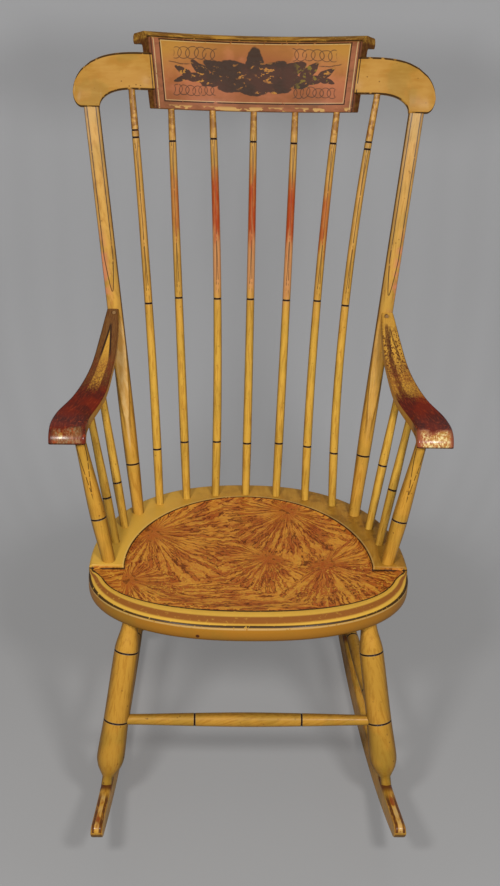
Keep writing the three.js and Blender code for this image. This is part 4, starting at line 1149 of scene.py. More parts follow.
def arm_paint(paint):
    """Arms: striped brown behind, crazed where hands rest, glossy red-brown at the scroll."""
    colours = paint.colours
    place, x, *_ = paint.place()
    _, share, across, up = paint.mark("arm_place")
    sunny = x.rise(-0.02, 0.02)
    streaks = paint.noise(paint.vector(share * 5, across * 2.2, x * 8), 5, 4)
    clouds = paint.noise(place, 34, 3)
    crazed = paint.noise(paint.vector(share * 34, across * 3.6, x * 20), 2.4, 4, 0.65)

    brown = paint.mixed(colours.arm_brown, colours.grain_dark, streaks.rise(0.4, 0.65) * 0.7)
    gold = paint.mixed(colours.ochre_shade, colours.ochre, crazed.rise(0.3, 0.5))
    red = paint.mixed(colours.arm_red, colours.arm_deep, clouds.rise(0.4, 0.6))
    red = paint.mixed(red, colours.rust, streaks.rise(0.5, 0.7) * 0.35)

    # Rear: brown with a lancet of gold between two black strokes
    spread = share.rise(0.07, 0.34) ** 0.8 * 0.42
    off_line = (across + 0.02).size()
    lancet = (off_line - spread).fall(-0.06, 0.0) * share.rise(0.09, 0.12)
    paint.colour = paint.mixed(brown, gold, (lancet * 0.9 + sunny * 0.8).within())
    inner_streak = across.window(-0.42, 0.3) * sunny * share.rise(0.06, 0.1)
    paint.coat(colours.grain_dark, inner_streak * streaks.rise(0.3, 0.5) * 0.85)
    stroke = off_line.line(spread, 0.2, 0.07) * share.rise(0.08, 0.11) * share.fall(0.28, 0.36)
    stroke = stroke * crazed.rise(0.25, 0.4)
    paint.coat(colours.scored, stroke * mix(0.95, 0.6, sunny))

    # Middle: crazed gold over brown, then the red front
    flecks = paint.noise(paint.vector(share * 30, across * 2.4, x * 20), 2.4, 2).rise(0.52, 0.56)
    flecks = flecks * sunny * share.rise(0.05, 0.16) * share.fall(0.4, 0.5)
    paint.coat(colours.grain_dark, flecks * 0.85)
    handled = share.rise(0.24, 0.4) * share.fall(0.46, 0.62)
    paint.coat(colours.ochre_pale, crazed.rise(0.56, 0.66) * handled * 0.6)
    paint.coat(red, crazed.rise(0.4, 0.52) * handled * 0.65)
    redness = share + (crazed - 0.5) * 0.25 - sunny * 0.04
    paint.coat(red, redness.rise(0.44, 0.58))

    # Scroll: rubbed to gold where the hand closes on it
    nose = (share + sunny * 0.045 + (clouds - 0.5) * 0.12).rise(0.95, 0.98)
    rubbed_and_front_lit = (clouds * 0.5 + crazed * 0.5).rise(0.36, 0.5) * across.size().fall(0.6, 0.9)
    paint.coat(colours.rose, nose * (0.35 + rubbed_and_front_lit * 0.35) * mix(0.15, 1, sunny))
    bared = paint.mixed(colours.gold, colours.cream_and_highlight, crazed.rise(0.45, 0.6))
    tip = (share + (clouds - 0.5) * 0.08).rise(0.92, 0.95)
    paint.coat(bared, tip * rubbed_and_front_lit * mix(0.2, 0.95, sunny))
    worn_spot = ((share - 0.968) / 0.012) ** 2 + ((across - 0.33) / 0.13) ** 2
    paint.coat(bared, worn_spot.fall(0.5, 1.1) * (1 - sunny) * 0.55)
    spotty = paint.noise(place, 190, 3).rise(0.58, 0.66) * share.rise(0.78, 0.86)
    paint.coat(colours.rust, spotty * 0.6)

    # Sides and underside: ochre tan, with the red turned down at the front
    flank = across.size().rise(0.93, 0.99) * up.fall(0.55, 0.8)
    under = up.fall(-0.9, -0.7)
    tan = paint.mixed(colours.ochre_shade, colours.flank, clouds.rise(0.35, 0.6))
    paint.coat(tan, flank.highest(under) * share.fall(0.8, 0.88))
    rim = up.line(0.86, 0.22, 0.16) * across.size().rise(0.84, 0.96) * across.rise(0, 0.2)
    paint.coat(colours.scored, rim * share.fall(0.84, 0.92) * 0.55)
    lip = share.rise(0.992, 0.997)
    paint.coat(colours.scored, lip * 0.85)

    glossy = share.rise(0.4, 0.6) * (1 - flank)
    rough = 0.42 + crazed * 0.12 - glossy * 0.24 + nose * rubbed_and_front_lit * 0.1
    height = crazed * handled * 0.8 + streaks * 0.3 + rubbed_and_front_lit * nose * -0.4
    return paint.done(rough, paint.raised(height, 0.35, 0.0009), 0.35)


def rocker_paint(paint):
    """Ochre of the rockers, with a pale worn lancet between dark strokes towards each tip."""
    colours = paint.colours
    place, *_ = paint.place()
    _, side, y, share = paint.mark("rocker_place")
    streaks = paint.noise(paint.scaled(place, 1, 0.12, 1), 240, 4)
    clouds = paint.noise(place, 24, 3)
    paint.colour = paint.mixed(colours.ochre_shade, colours.ochre, streaks.rise(0.35, 0.6) * 0.7)
    paint.coat(colours.olive, clouds.rise(0.45, 0.65) * 0.35)
    top = share.rise(0.8, 0.95)
    tips = y.fall(-0.235, -0.205).highest(y.rise(0.26, 0.3))
    spread = (side / (0.0058 + (paint.noise(place, 60, 2) - 0.5) * 0.003)).size()
    stroke = spread.window(0.95, 0.5) * top * tips
    paint.coat(colours.rocker_dark, stroke * streaks.rise(0.3, 0.48) * 0.9)
    worn = spread.fall(0.35, 0.7) * top * tips
    pale = paint.mixed(colours.ochre, colours.bare_pale, clouds.rise(0.36, 0.6))
    gap = paint.noise(paint.scaled(place, 1, 0.4, 1), 60, 2)
    paint.coat(pale, worn * gap.rise(0.36, 0.5) * 0.75)
    paint.coat(colours.rocker_red, worn * gap.fall(0.36, 0.46) * 0.8)
    near_foot = (y - FRONT_LEG["foot"][1]).size().lowest((y - REAR_LEG["foot"][1]).size())
    dirty = near_foot.fall(0.012, 0.03) * top
    paint.coat(colours.rocker_dark, dirty * clouds.rise(0.25, 0.5) * 0.9)
    paint.coat(colours.grime_and_shade, share.fall(0.02, 0.14) * 0.7)
    rough = 0.36 + streaks * 0.16 + dirty * 0.15 + share.fall(0.0, 0.1) * 0.2
    return paint.done(rough, paint.raised(streaks * 0.5, 0.35, 0.0008), 0.25)


def end_grain(paint):
    """Oiled end grain of pins and pegs: rings that differ from peg to peg."""
    colours = paint.colours
    place, *_ = paint.place()
    rings = paint.node(
        "ShaderNodeTexWave",
        {"wave_type": "RINGS", "rings_direction": "SPHERICAL"},
        {
            "Vector": paint.shifted(place, (0.013, 0.021, 0.4)),
            "Scale": 190,
            "Distortion": 3.5,
            "Detail": 2,
        },
        output="Fac",
    )
    pores = paint.noise(place, 900, 2)
    paint.colour = paint.mixed(colours.end_grain, colours.grime_and_shade, rings.rise(0.35, 0.8) * 0.55)
    paint.coat(colours.scored, pores.rise(0.6, 0.7) * 0.5)
    return paint.done(0.5 + rings * 0.15, paint.raised(rings + pores, 0.3, 0.0003))


# Pieces


class ChairOperator(bpy.types.Operator):
    """Models one kind of piece of the chair"""

    bl_idname = "chair.piece"
    bl_label = "Chair piece"
    bl_options = {"REGISTER", "UNDO"}

    def build(self):
        raise NotImplementedError

    def execute(self, context):
        self.build()
        return {"FINISHED"}


SADDLE_ROWS = (0.04, 0.12, 0.21, 0.3, 0.39, 0.48, 0.57, 0.66, 0.74, 0.81, 0.87, 0.92, 0.96, 0.985)
SADDLE_FULLNESS = 3.4
# Shares of the way outwards, each with the share of the lip's drop or of the band's rise there
DECK_EDGE = ((0.35, 0.62), (0.75, 0.16), (1, 0.02))
BAND_CROWN = ((0, 0.15), (0.12, 0.7), (0.3, 1), (0.5, 0.9))
# Wall between deck and band: shifts backwards at its top, on its way down and at its foot
WALL_TOP_SHIFT, WALL_FOOT_SHIFT, FULL_SHIFT_REACH = mm(1.4, -1.2, 120)
WALL_STEPS = ((0.85, mm(0.5)), (0.12, mm(-0.5)))
SEAT_COLUMNS = 80
EDGE_SLOPE, BACK_LIP, SCOOP_INSET, BAND_RISE = mm(3, 1.5, 8, 2.5)
TOP_ROUND, BOTTOM_ROUND, FRONT_ROLL = mm(7, 8, 13)


def seat_column(angle, is_back):
    """Reaches and drops from the middle of the saddle over the rim to the underside."""
    seat = sizes("seat")
    power = seat.squareness
    front = SEAT_FRONT_REACH
    rim = oval_reach(angle, seat.half_width, seat.back_reach if is_back else front, power)
    side = abs(math.cos(angle)) ** 1.5
    scoop_width = seat.saddle_half_width - EDGE_SLOPE
    scoop_back = seat.saddle_back_reach - EDGE_SLOPE
    scoop_front = front - seat.band_front - SCOOP_INSET
    scoop = oval_reach(angle, scoop_width, scoop_back if is_back else scoop_front, 2)
    lip = mix(BACK_LIP, seat.step, side) if is_back else seat.step
    rows = [
        (scoop * share, mix(lip, seat.saddle_depth, 1 - share**SADDLE_FULLNESS))
        for share in SADDLE_ROWS
    ]
    rows.append((scoop, lip))
    if is_back:
        edge = oval_reach(angle, seat.saddle_half_width, seat.saddle_back_reach, 2)
        round_, level = TOP_ROUND, 0
        flat = edge + EDGE_SLOPE / 2
        rows += [(mix(scoop, edge, share), lip * left) for share, left in DECK_EDGE]
        rows += [(mix(flat, rim - round_, share), 0) for share in (0, 0.35, 0.7, 1)]
    else:
        inner = seat.half_width - seat.band_side, front - seat.band_front
        line = oval_reach(angle, *inner, power)
        round_, level = mix(FRONT_ROLL, TOP_ROUND, side), seat.step
        rows += [(mix(scoop, line, share), level) for share in (0.5, 0.9)]
        rows += [(mix(line, rim, share), level - BAND_RISE * part) for share, part in BAND_CROWN]
        rows.append((rim - round_, level - BAND_RISE * 0.25 * (1 - side)))
    rows += [(rim - round_ * (1 - s), level + round_ * (1 - c)) for s, c in quarter(5, 1)]
    rows.append((rim, mix(level + round_, seat.thickness - BOTTOM_ROUND, 0.5)))
    under = rim - BOTTOM_ROUND
    rows += [(under + BOTTOM_ROUND * c, seat.thickness - BOTTOM_ROUND * (1 - s)) for s, c in quarter(4)]
    rows += [(under * share, seat.thickness) for share in (0.8, 0.5, 0.2, 0.04)]
    return rows


def seat_columns():
    """Columns round the seat as (angle, share of the back's section, shift backwards)."""
    half = SEAT_COLUMNS
    ends = (0, half)
    columns = [(math.pi * i / half, 1, WALL_TOP_SHIFT if i in ends else 0) for i in range(half + 1)]
    columns += [(math.pi, share, shift) for share, shift in WALL_STEPS]
    columns += [
        (math.pi * (1 + i / half), 0, WALL_FOOT_SHIFT if i in ends else 0) for i in range(half + 1)
    ]
    columns += [(0, share, shift) for share, shift in reversed(WALL_STEPS)]
    return columns


class CHAIR_OT_seat(ChairOperator):
    """Models the saddled plank seat with its raised deck and rolled front band"""

    bl_idname = "chair.seat"
    bl_label = "Seat"

    def build(self):
        columns = []
        for angle, back_share, shift in seat_columns():
            back, ahead = seat_column(angle, True), seat_column(angle, False)
            column = []
            for (back_reach, back_drop), (reach, drop) in zip(back, ahead):
                reach = mix(reach, back_reach, back_share)
                drop = mix(drop, back_drop, back_share)
                moved = shift * smooth(reach / FULL_SHIFT_REACH)
                column.append(
                    deck_point(reach * math.cos(angle), reach * math.sin(angle) + moved, drop)
                )
            columns.append(column)
        rings = [list(ring) for ring in zip(*columns)]
        seat = lofted("seat_plank", rings)
        face_outwards(seat)
        shade(seat, 40)
        finish(seat, "seat", painted("Grained seat paint", seat_paint))


TABLET_COLUMNS = 96
END_FLARE = math.tan(math.radians(21))
FRONT_ROLL_DEPTH, TABLET_BOTTOM_THICKNESS, TABLET_TOP_THICKNESS = mm(20, 18, 25)
TABLET_EDGE = mm(1.6)


def tablet_section():
    """Outline of the tablet as (depth, height) pairs, from the lower front edge round."""
    crest = sizes("crest")
    lip = crest.roll_diameter / 2
    top, bend = crest.height, FRONT_ROLL_DEPTH
    edge = TABLET_EDGE
    points = [(edge, 0), (edge * 0.3, edge * 0.3), (0, edge)]
    points += [(0, mix(edge, top - bend, share)) for share in (0.2, 0.4, 0.6, 0.8)]
    points += [(bend * (1 - c), top - bend * (1 - s)) for s, c in quarter(8)]
    roll, nose = quarter(6), crest.roll_depth - lip
    points += [(nose + lip * s, top - lip + lip * c) for s, c in roll]
    points += [(nose + lip * c, top - lip - lip * s) for s, c in roll[1:]]
    back, under = TABLET_TOP_THICKNESS, top - crest.roll_diameter
    points += [(back + lip * (1 - s), under - lip * (1 - c)) for s, c in quarter(6)]
    points.append((mix(back, TABLET_BOTTOM_THICKNESS, 0.5), top / 2 - lip))
    points += [(TABLET_BOTTOM_THICKNESS, edge), (TABLET_BOTTOM_THICKNESS - edge, 0)]
    return points


def crest_loft(name, columns, marks=None):
    """Piece of the crest from columns of (place along the face, height, depth)."""
    rings = [[crest_point(*spot) for spot in column] for column in columns]
    piece = lofted(name, rings, {"face_place": columns, **(marks or {})})
    face_outwards(piece)
    shade(piece, 35)
    return piece


def tablet_columns():
    crest = sizes("crest")
    columns = []
    for i in range(TABLET_COLUMNS + 1):
        share = 2 * i / TABLET_COLUMNS - 1
        column = []
        for depth, height in tablet_section():
            half = mix(crest.half_width_bottom, crest.half_width_top, height / crest.height)
            column.append((share * (half + END_FLARE * depth * share**2), height, depth))
        columns.append(column)
    return columns


EAR_TOP_POWER, EAR_INNER_POWER, EAR_EDGE_SHARE, EAR_END, EAR_TIP = 3.2, 2.6, 0.22, 0.998, mm(0.6)


def ear_edges(x):
    """Lower and upper edge of an ear: a level rail that turns down over the post."""
    crest = sizes("crest")
    bulge = mix(EAR_FOOT_HEIGHT, RAIL_BOTTOM, 0.8)
    inner_start = EAR_FOOT_INNER - (RAIL_TOP - RAIL_BOTTOM)
    shoulder = crest.half_width_top
    outer = clamp((x - shoulder) / (crest.ear_half_width - shoulder))
    top = mix(bulge, RAIL_TOP, math.sqrt(1 - outer**EAR_TOP_POWER))
    inner = clamp((x - inner_start) / (EAR_FOOT_INNER - inner_start))
    past = clamp((x - EAR_FOOT_OUTER) / (crest.ear_half_width - EAR_FOOT_OUTER))
    if x < EAR_FOOT_INNER:
        bottom = mix(EAR_FOOT_HEIGHT, RAIL_BOTTOM, math.sqrt(1 - inner**EAR_INNER_POWER))
    else:
        bottom = mix(bulge, EAR_FOOT_HEIGHT, math.sqrt(1 - past**2))
    return bottom, max(top, bottom + EAR_TIP)


def ear_columns():
    crest = sizes("crest")
    inner_start = EAR_FOOT_INNER - (RAIL_TOP - RAIL_BOTTOM)
    places = [mix(BOW_HALF_LENGTH, inner_start, i / 10) for i in range(10)]
    places += [mix(inner_start, EAR_FOOT_INNER, s) for s, _ in quarter(20)]
    places.append(mix(EAR_FOOT_INNER, EAR_FOOT_OUTER, 0.5))
    places += [mix(EAR_FOOT_OUTER, crest.ear_half_width, s * EAR_END) for s, _ in quarter(16)]
    front, back = RAIL_SETBACK, RAIL_SETBACK + crest.ear_thickness
    columns = []
    for x in places:
        bottom, top = ear_edges(x)
        edge = min(crest.ear_thickness * EAR_EDGE_SHARE, (top - bottom) / 3)
        middle, half = (bottom + top) / 2, (top - bottom) / 2
        outline = rounded_box(half, front, back, edge, edge)
        columns.append([(x, middle - under, depth) for under, depth in outline])
    return columns


class CHAIR_OT_crest(ChairOperator):
    """Models the bowed crest: the tablet with its rolled top and both drooping ears"""

    bl_idname = "chair.crest"
    bl_label = "Crest"

    def build(self):
        tablet = crest_loft("crest_tablet", tablet_columns())
        finish(tablet, "crest", painted("Tablet paint", tablet_paint))
        columns = ear_columns()
        edges = []
        for column in columns:
            bottom, top = ear_edges(column[0][0])
            edges.append([(height - bottom, top - height, 0) for _, height, _ in column])
        left = crest_loft("left_crest_ear", columns, {"ear_edges": edges})
        right = mirrored(left, "right_crest_ear")
        for ear in (left, right):
            finish(ear, "crest", painted("Ear paint", ear_paint))


SEAT_SOCKET = mm(26)
CREST_SOCKET = mm(17)
SPINDLE_SEATS = [mm(*pair) for pair in ((0, 235), (54, 230), (105, 218), (152, 198))]
SPINDLE_CRESTS = mm(0, 66, 131, 196)
SPINDLE_WAIST = 0.95
# Each long spindle from the sitter's right: sideways bow in millimetres, then its rings' places
# as shares of its length
SPINDLE_MAKES = (
    (4, 0.1436, 0.509, 0.9001),
    (0, 0.157, 0.5397, 0.9254),
    (6, 0.1506, 0.5346, 0.9336),
    (1, 0.1434, 0.533, 0.9285),
    (1, 0.1476, 0.5331, 0.9261),
    (-7, 0.148, 0.5367, 0.9269),
    (-15, 0.1379, 0.5105, 0.883),
)


def spindle_ends(number, side):
    seat_x, seat_y = SPINDLE_SEATS[number]
    crest_x = SPINDLE_CRESTS[number]
    outer = crest_x > sizes("crest").half_width_bottom
    thickness = sizes("crest").ear_thickness if outer else TABLET_BOTTOM_THICKNESS
    height = RAIL_BOTTOM if outer else 0
    return deck_point(side * seat_x, seat_y), crest_point(side * crest_x, height, thickness / 2)


DOUBLE_RING = mm(3.8)


class CHAIR_OT_spindles(ChairOperator):
    """Turns the seven long back spindles, each with its own bow and rings"""

    bl_idname = "chair.spindles"
    bl_label = "Back spindles"

    def build(self):
        back = sizes("back")
        material = painted("Spindle paint", spindle_paint)
        for i, (bow, *shares) in enumerate(SPINDLE_MAKES):
            start, end = spindle_ends(abs(i - 3), 1 if i > 3 else -1)
            length = (end - start).length
            low, middle, high = rings = [share * length for share in shares]
            if i in (0, len(SPINDLE_MAKES) - 1):
                rings = [low, middle, high - DOUBLE_RING, high + 2 * DOUBLE_RING]
            diameters = [
                (-SEAT_SOCKET, back.spindle_foot),
                (0, back.spindle_foot),
                (low, back.spindle_ring),
                ((low + middle) / 2, back.spindle_ring * SPINDLE_WAIST),
                (middle, back.spindle_middle),
                ((middle + high) / 2, back.spindle_middle * SPINDLE_WAIST),
                (high, back.spindle_upper),
                (length, back.spindle_top),
                (length + CREST_SOCKET, back.spindle_top),
            ]
            name = f"long_spindle_{i + 1}"
            steps = {"sides": 20, "pitch": mm(24)}
            stick = turned(name, start, end, diameters, rings, **steps, bow=mm(bow))
            finish(stick, f"back_spindle_{i + 1}", material)


POST_SIDES = 32
POST_RINGS = mm(89, 108)
POST_FRONT_DEPTH, POST_BACK_DEPTH, POST_CREST_SOCKET = mm(6, 8.5, 3)


def post_rings(ring_place):
    """Rings of a post and their places: round behind, shaved flat in front."""
    back = sizes("back")
    base, length, axis, side, rear = post_directions()
    start = back.flat_start
    widths = [(0, back.post_foot), (ring_place, back.post_ring), (start, back.post_width)]
    backs = [(place, width / 2) for place, width in widths] + [(length, POST_BACK_DEPTH)]
    fronts = [(start, back.post_width / 2), (back.flat_full, POST_FRONT_DEPTH)]
    pairs = [(-SEAT_SOCKET, back.post_foot), *widths, (length + POST_CREST_SOCKET, back.post_width)]
    rings, marks = [], []
    for place in turning_places(pairs, [ring_place], mm(9)):
        score = groove(place, [ring_place])
        width = curved(pairs, place) - 2 * score
        front, behind = along(fronts, place), along(backs, place) - score
        ring, mark = [], []
        for i in range(POST_SIDES):
            turn = 2 * math.pi * (i + 0.5) / POST_SIDES
            across, rearwards = width / 2 * math.cos(turn), math.sin(turn)
            rearwards = max(rearwards * (width / 2 if rearwards < 0 else behind), -front)
            ring.append(base + axis * place + side * across + rear * rearwards)
            mark.append((across, rearwards, place))
        rings.append(ring)
        marks.append(mark)
    return rings, marks


class CHAIR_OT_posts(ChairOperator):
    """Models the two back posts, turned below and shaved flat in front above"""

    bl_idname = "chair.posts"
    bl_label = "Back posts"

    def build(self):
        for side, ring_place in zip(("right", "left"), POST_RINGS):
            rings, marks = post_rings(ring_place)
            post = lofted(f"{side}_post_shaft", rings, {"post_place": marks})
            face_outwards(post)
            if side == "right":
                twin = mirrored(post, "right_post")
                bpy.data.objects.remove(post)
                post = twin
                post.name = post.data.name = "right_post_shaft"
            places = [spot.vector.z for spot in post.data.attributes["post_place"].data]
            keep_score(post.data, places, [ring_place])
            shade(post, 30)
            finish(post, f"{side}_back_post", painted("Post paint", post_paint))


# Arm stations: shares run back to front, fall to the level front, and out to the side
ARM_PATH = (
    (0, 0, 0),
    (0.16, 0.3, 0.09),
    (0.34, 0.58, 0.23),
    (0.55, 0.84, 0.52),
    (0.74, 0.98, 0.9),
    (0.88, 1, 1),
)
ARM_WIDTHS = ((0, 0), (0.12, 0.2), (0.25, 0.35), (0.4, 0.48), (0.6, 0.8), (0.76, 1), (1, 1))
ARM_STATIONS, CURVE_STEPS = 72, 24
ARM_EDGE = mm(4)
ARM_REAR_OUT, ARM_REAR_AHEAD, ARM_POST_GAP = mm(3.1, 2.3, 0.2)


def centripetal(points, count):
    """Points at even lengths along a smooth curve through the given ones, and their directions."""
    points = [points[0] * 2 - points[1], *points, points[-1] * 2 - points[-2]]
    fine = []
    for p0, p1, p2, p3 in zip(points, points[1:], points[2:], points[3:]):
        t1 = (p1 - p0).length ** 0.5
        t2 = t1 + (p2 - p1).length ** 0.5
        t3 = t2 + (p3 - p2).length ** 0.5
        for step in range(CURVE_STEPS):
            t = mix(t1, t2, step / CURVE_STEPS)
            share = (t - t1) / (t2 - t1)
            a1 = mix(p0, p1, t / t1)
            a2 = mix(p1, p2, share)
            a3 = mix(p2, p3, (t - t2) / (t3 - t2))
            fine.append(mix(mix(a1, a2, t / t2), mix(a2, a3, (t - t1) / (t3 - t1)), share))
    fine.append(points[-2])
    lengths = [0]
    for before, after in zip(fine, fine[1:]):
        lengths.append(lengths[-1] + (after - before).length)
    spots, at = [], 0
    for i in range(count + 1):
        wanted = lengths[-1] * i / count
        while at < len(lengths) - 2 and lengths[at + 1] < wanted:
            at += 1
        share = (wanted - lengths[at]) / (lengths[at + 1] - lengths[at])
        spots.append(fine[at].lerp(fine[at + 1], clamp(share)))
    runs = [
        (spots[min(i + 1, count)] - spots[max(i - 1, 0)]).normalized() for i in range(count + 1)
    ]
    return spots, runs


def arm_line():
    """Middle line of the left arm, from the post to the scroll."""
    arm = sizes("arm")
    base, _, axis, *_ = post_directions()
    rear = base + axis * (arm.rear_rise / axis.z) + Vector((ARM_REAR_OUT, -ARM_REAR_AHEAD, 0))
    level = deck_point(0, arm.scroll_y).z + arm.front_height
    scroll_y = WIDEST_Y + arm.scroll_y
    points = [
        Vector((mix(rear.x, arm.front_x, out), mix(rear.y, scroll_y, run), mix(rear.z, level, fall)))
        for run, fall, out in ARM_PATH
    ]
    radius = arm.scroll_radius
    points += [
        Vector((arm.front_x, scroll_y + radius * (1 - s), level - radius * (1 - c)))
        for s, c in quarter(4)
    ]
    return centripetal(points, ARM_STATIONS)


def arm_columns():
    arm = sizes("arm")
    spots, runs = arm_line()
    half = arm.thickness / 2
    rings, marks = [], []
    for i, (spot, run) in enumerate(zip(spots, runs)):
        share = i / ARM_STATIONS
        normal = run.cross(Vector((1, 0, 0))).normalized()
        across = mix(arm.rear_width, arm.front_width, curved(ARM_WIDTHS, share)) / 2
        upper, lower = min(ARM_EDGE, across * 0.6), ARM_EDGE * 0.8
        outline = rounded_box(across, half, -half, upper, lower)
        rings.append([spot + normal * n + Vector((x, 0, 0)) for x, n in outline])
        marks.append([(share, x / across, n / half) for x, n in outline])
    return rings, marks


class CHAIR_OT_arms(ChairOperator):
    """Models the two serpentine arms with their rolled fronts"""

    bl_idname = "chair.arms"
    bl_label = "Arms"

    def build(self):
        rings, marks = arm_columns()
        left = lofted("left_scroll_arm", rings, {"arm_place": marks})
        base, *_, rear = post_directions()
        activate(left)
        edit_all()
        bpy.ops.mesh.bisect(
            plane_co=base - rear * (POST_FRONT_DEPTH + ARM_POST_GAP),
            plane_no=rear,
            use_fill=True,
            clear_outer=True,
        )
        bpy.ops.object.mode_set(mode="OBJECT")
        face_outwards(left)
        shade(left, 40)
        right = mirrored(left, "right_scroll_arm")
        shade(right, 40)
        for arm, node in ((left, "left_arm"), (right, "right_arm")):
            finish(arm, node, painted("Arm paint", arm_paint))


# Places on the seat and under the arm, then diameters at the foot, the ring and the top
SUPPORT_PLACES, SUPPORT_WIDTHS, SUPPORT_RING = (mm(229, 16), mm(273, 54)), mm(22, 26, 18), mm(76)
SHORT_PLACES = {"front": (mm(221, 71), mm(260, 112)), "rear": (mm(209, 121), mm(246, 160))}
SHORT_WIDTHS, SHORT_EVEN_TOP = mm(14, 15.5, 12.5), mm(24)
SHORT_RINGS = {"left": mm(100, 118), "right": mm(81, 82)}
ARM_SOCKET = mm(9)


def under_arm(x, y):
    """Place on the arm's underside above a point of its plan."""
    spots, runs = arm_line()
    half = sizes("arm").thickness / 2
    wanted = WIDEST_Y + y
    unders = [
        spot - run.cross(Vector((1, 0, 0))).normalized() * half for spot, run in zip(spots, runs)
    ]
    for before, after in zip(unders, unders[1:]):
        if before.y >= wanted > after.y:
            share = (before.y - wanted) / (before.y - after.y)
            return Vector((x, wanted, mix(before.z, after.z, share)))
    raise RuntimeError("The arm does not reach over this stick")


def on_side(point, side):
    return Vector((point.x * (1 if side == "left" else -1), point.y, point.z))


def arm_stick(name, side, places, widths, ring, even_top=0.0, **steps):
    """Turned stick from the seat to the arm's underside, with an even stretch at its top."""
    start = on_side(deck_point(*places[0]), side)
    end = on_side(under_arm(*places[1]), side)
    length = (end - start).length
    foot, middle, top = widths
    diameters = [
        (-SEAT_SOCKET, foot),
        (0, foot),
        (ring, middle),
        (length - even_top, top),
        (length + ARM_SOCKET, top),
    ]
    return turned(name, start, end, diameters, [ring], **steps)


class CHAIR_OT_arm_sticks(ChairOperator):
    """Turns the arm supports and the short arm spindles"""

    bl_idname = "chair.arm_sticks"
    bl_label = "Arm supports and spindles"

    def build(self):
        for_supports = painted("Support paint", support_paint)
        for_spindles = painted("Spindle paint", spindle_paint)
        for side in ("left", "right"):
            named = f"{side}_support_turning", side
            size = SUPPORT_PLACES, SUPPORT_WIDTHS, SUPPORT_RING
            stick = arm_stick(*named, *size, sides=28, pitch=mm(12))
            finish(stick, f"{side}_arm_support", for_supports)
            for (place, places), ring in zip(SHORT_PLACES.items(), SHORT_RINGS[side]):
                named = f"{side}_short_spindle_{place}", side
                size = places, SHORT_WIDTHS, ring, SHORT_EVEN_TOP
                stick = arm_stick(*named, *size, sides=20, pitch=mm(14))
                finish(stick, f"{side}_arm_spindle_{place}", for_spindles)


ROCKER_LOWEST_Y, ROCKER_FRONT_REACH, ROCKER_REAR_REACH = mm(118, 432, 348)
ROCKER_FACETS = 16
FRONT_LEG = {"seat": mm(187, -99), "foot": mm(226, -184)}
REAR_LEG = {"seat": mm(150, 150), "foot": mm(203, 237)}
LEG_SOCKET, LEG_COLLAR, ROCKER_SOCKET = mm(24, 8, 7)
LEG_UPPER_RING, LEG_LOWER_RING, LEG_BULGE_RISE, LEG_NECK_RISE = mm(51, 169, 46, 11)


def rocker_bottom(y):
    """Lower edge of a rocker over the floor: the curve that the CAD's facets stand for."""
    radius = sizes("base").rocker_radius
    half_facet = (ROCKER_FRONT_REACH + ROCKER_REAR_REACH) / ROCKER_FACETS / 2
    level = radius - math.sqrt(radius**2 - half_facet**2)
    rise = radius - math.sqrt(radius**2 - (y - ROCKER_LOWEST_Y) ** 2)
    return max(0.0, rise - level / 2)


def rocker_top(y):
    base = sizes("base")
    reach = ROCKER_FRONT_REACH if y < ROCKER_LOWEST_Y else ROCKER_REAR_REACH
    share = clamp(abs(y - ROCKER_LOWEST_Y) / reach)
    return rocker_bottom(y) + mix(base.rocker_depth, base.rocker_tip_depth, share**2.5)


def rocker_x(y):
    (front_x, front_y), (rear_x, rear_y) = FRONT_LEG["foot"], REAR_LEG["foot"]
    return mix(front_x, rear_x, (y - front_y) / (rear_y - front_y))


def leg_ends(leg):
    foot_x, foot_y = leg["foot"]
    foot = Vector((foot_x, WIDEST_Y + foot_y, rocker_top(foot_y)))
    return deck_point(*leg["seat"], sizes("seat").thickness), foot


class CHAIR_OT_legs(ChairOperator):
    """Turns the four legs, one front and one rear leg mirrored to the other side"""

    bl_idname = "chair.legs"
    bl_label = "Legs"

    def build(self):
        base = sizes("base")
        material = painted("Leg paint", leg_paint)
        for place, leg in (("front", FRONT_LEG), ("rear", REAR_LEG)):
            top, foot = leg_ends(leg)
            length = (foot - top).length
            bulge, neck = LEG_BULGE_RISE, LEG_NECK_RISE
            widths = [
                (-LEG_SOCKET, base.leg_top),
                (LEG_COLLAR, base.leg_top),
                (LEG_UPPER_RING, base.leg_upper_ring),
                (LEG_LOWER_RING, base.leg_lower_ring),
                (length - bulge, base.leg_bulge),
                (length - mix(bulge, neck, 0.4), base.leg_bulge * 0.88),
                (length - mix(bulge, neck, 0.8), mix(base.leg_foot, base.leg_bulge, 0.3)),
                (length - neck, base.leg_foot),
                (length + ROCKER_SOCKET, base.leg_foot),
            ]
            rings = [LEG_UPPER_RING, LEG_LOWER_RING]
            name = f"left_{place}_leg_turning"
            left = turned(name, top, foot, widths, rings, sides=40, pitch=mm(6))
            right = mirrored(left, f"right_{place}_leg_turning")
            for side, stick in (("left", left), ("right", right)):
                finish(stick, f"{side}_{place}_leg", material)


STRETCHER_TENON, SIDE_STRETCHER_DROP, REAR_STRETCHER_DROP = mm(13, 27, 150)
STRETCHER_RING = 0.29


def leg_point(leg, drop):
    top, foot = leg_ends(leg)
    return top + (foot - top).normalized() * drop


def stretcher(name, start, end):
    base = sizes("base")
    run = (end - start).normalized()
    inset = base.leg_lower_ring / 2 - STRETCHER_TENON
    start, end = start + run * inset, end - run * inset
    length = (end - start).length
    rings = [length * STRETCHER_RING, length * (1 - STRETCHER_RING)]
    near = [
        (0, base.stretcher_end),
        (STRETCHER_TENON, base.stretcher_end),
        (rings[0], base.stretcher_ring),
    ]
    far = [(length - place, width) for place, width in near]
    widths = [*near, (length / 2, base.stretcher_middle), *far]
    return turned(name, start, end, widths, rings, sides=28, pitch=mm(10))


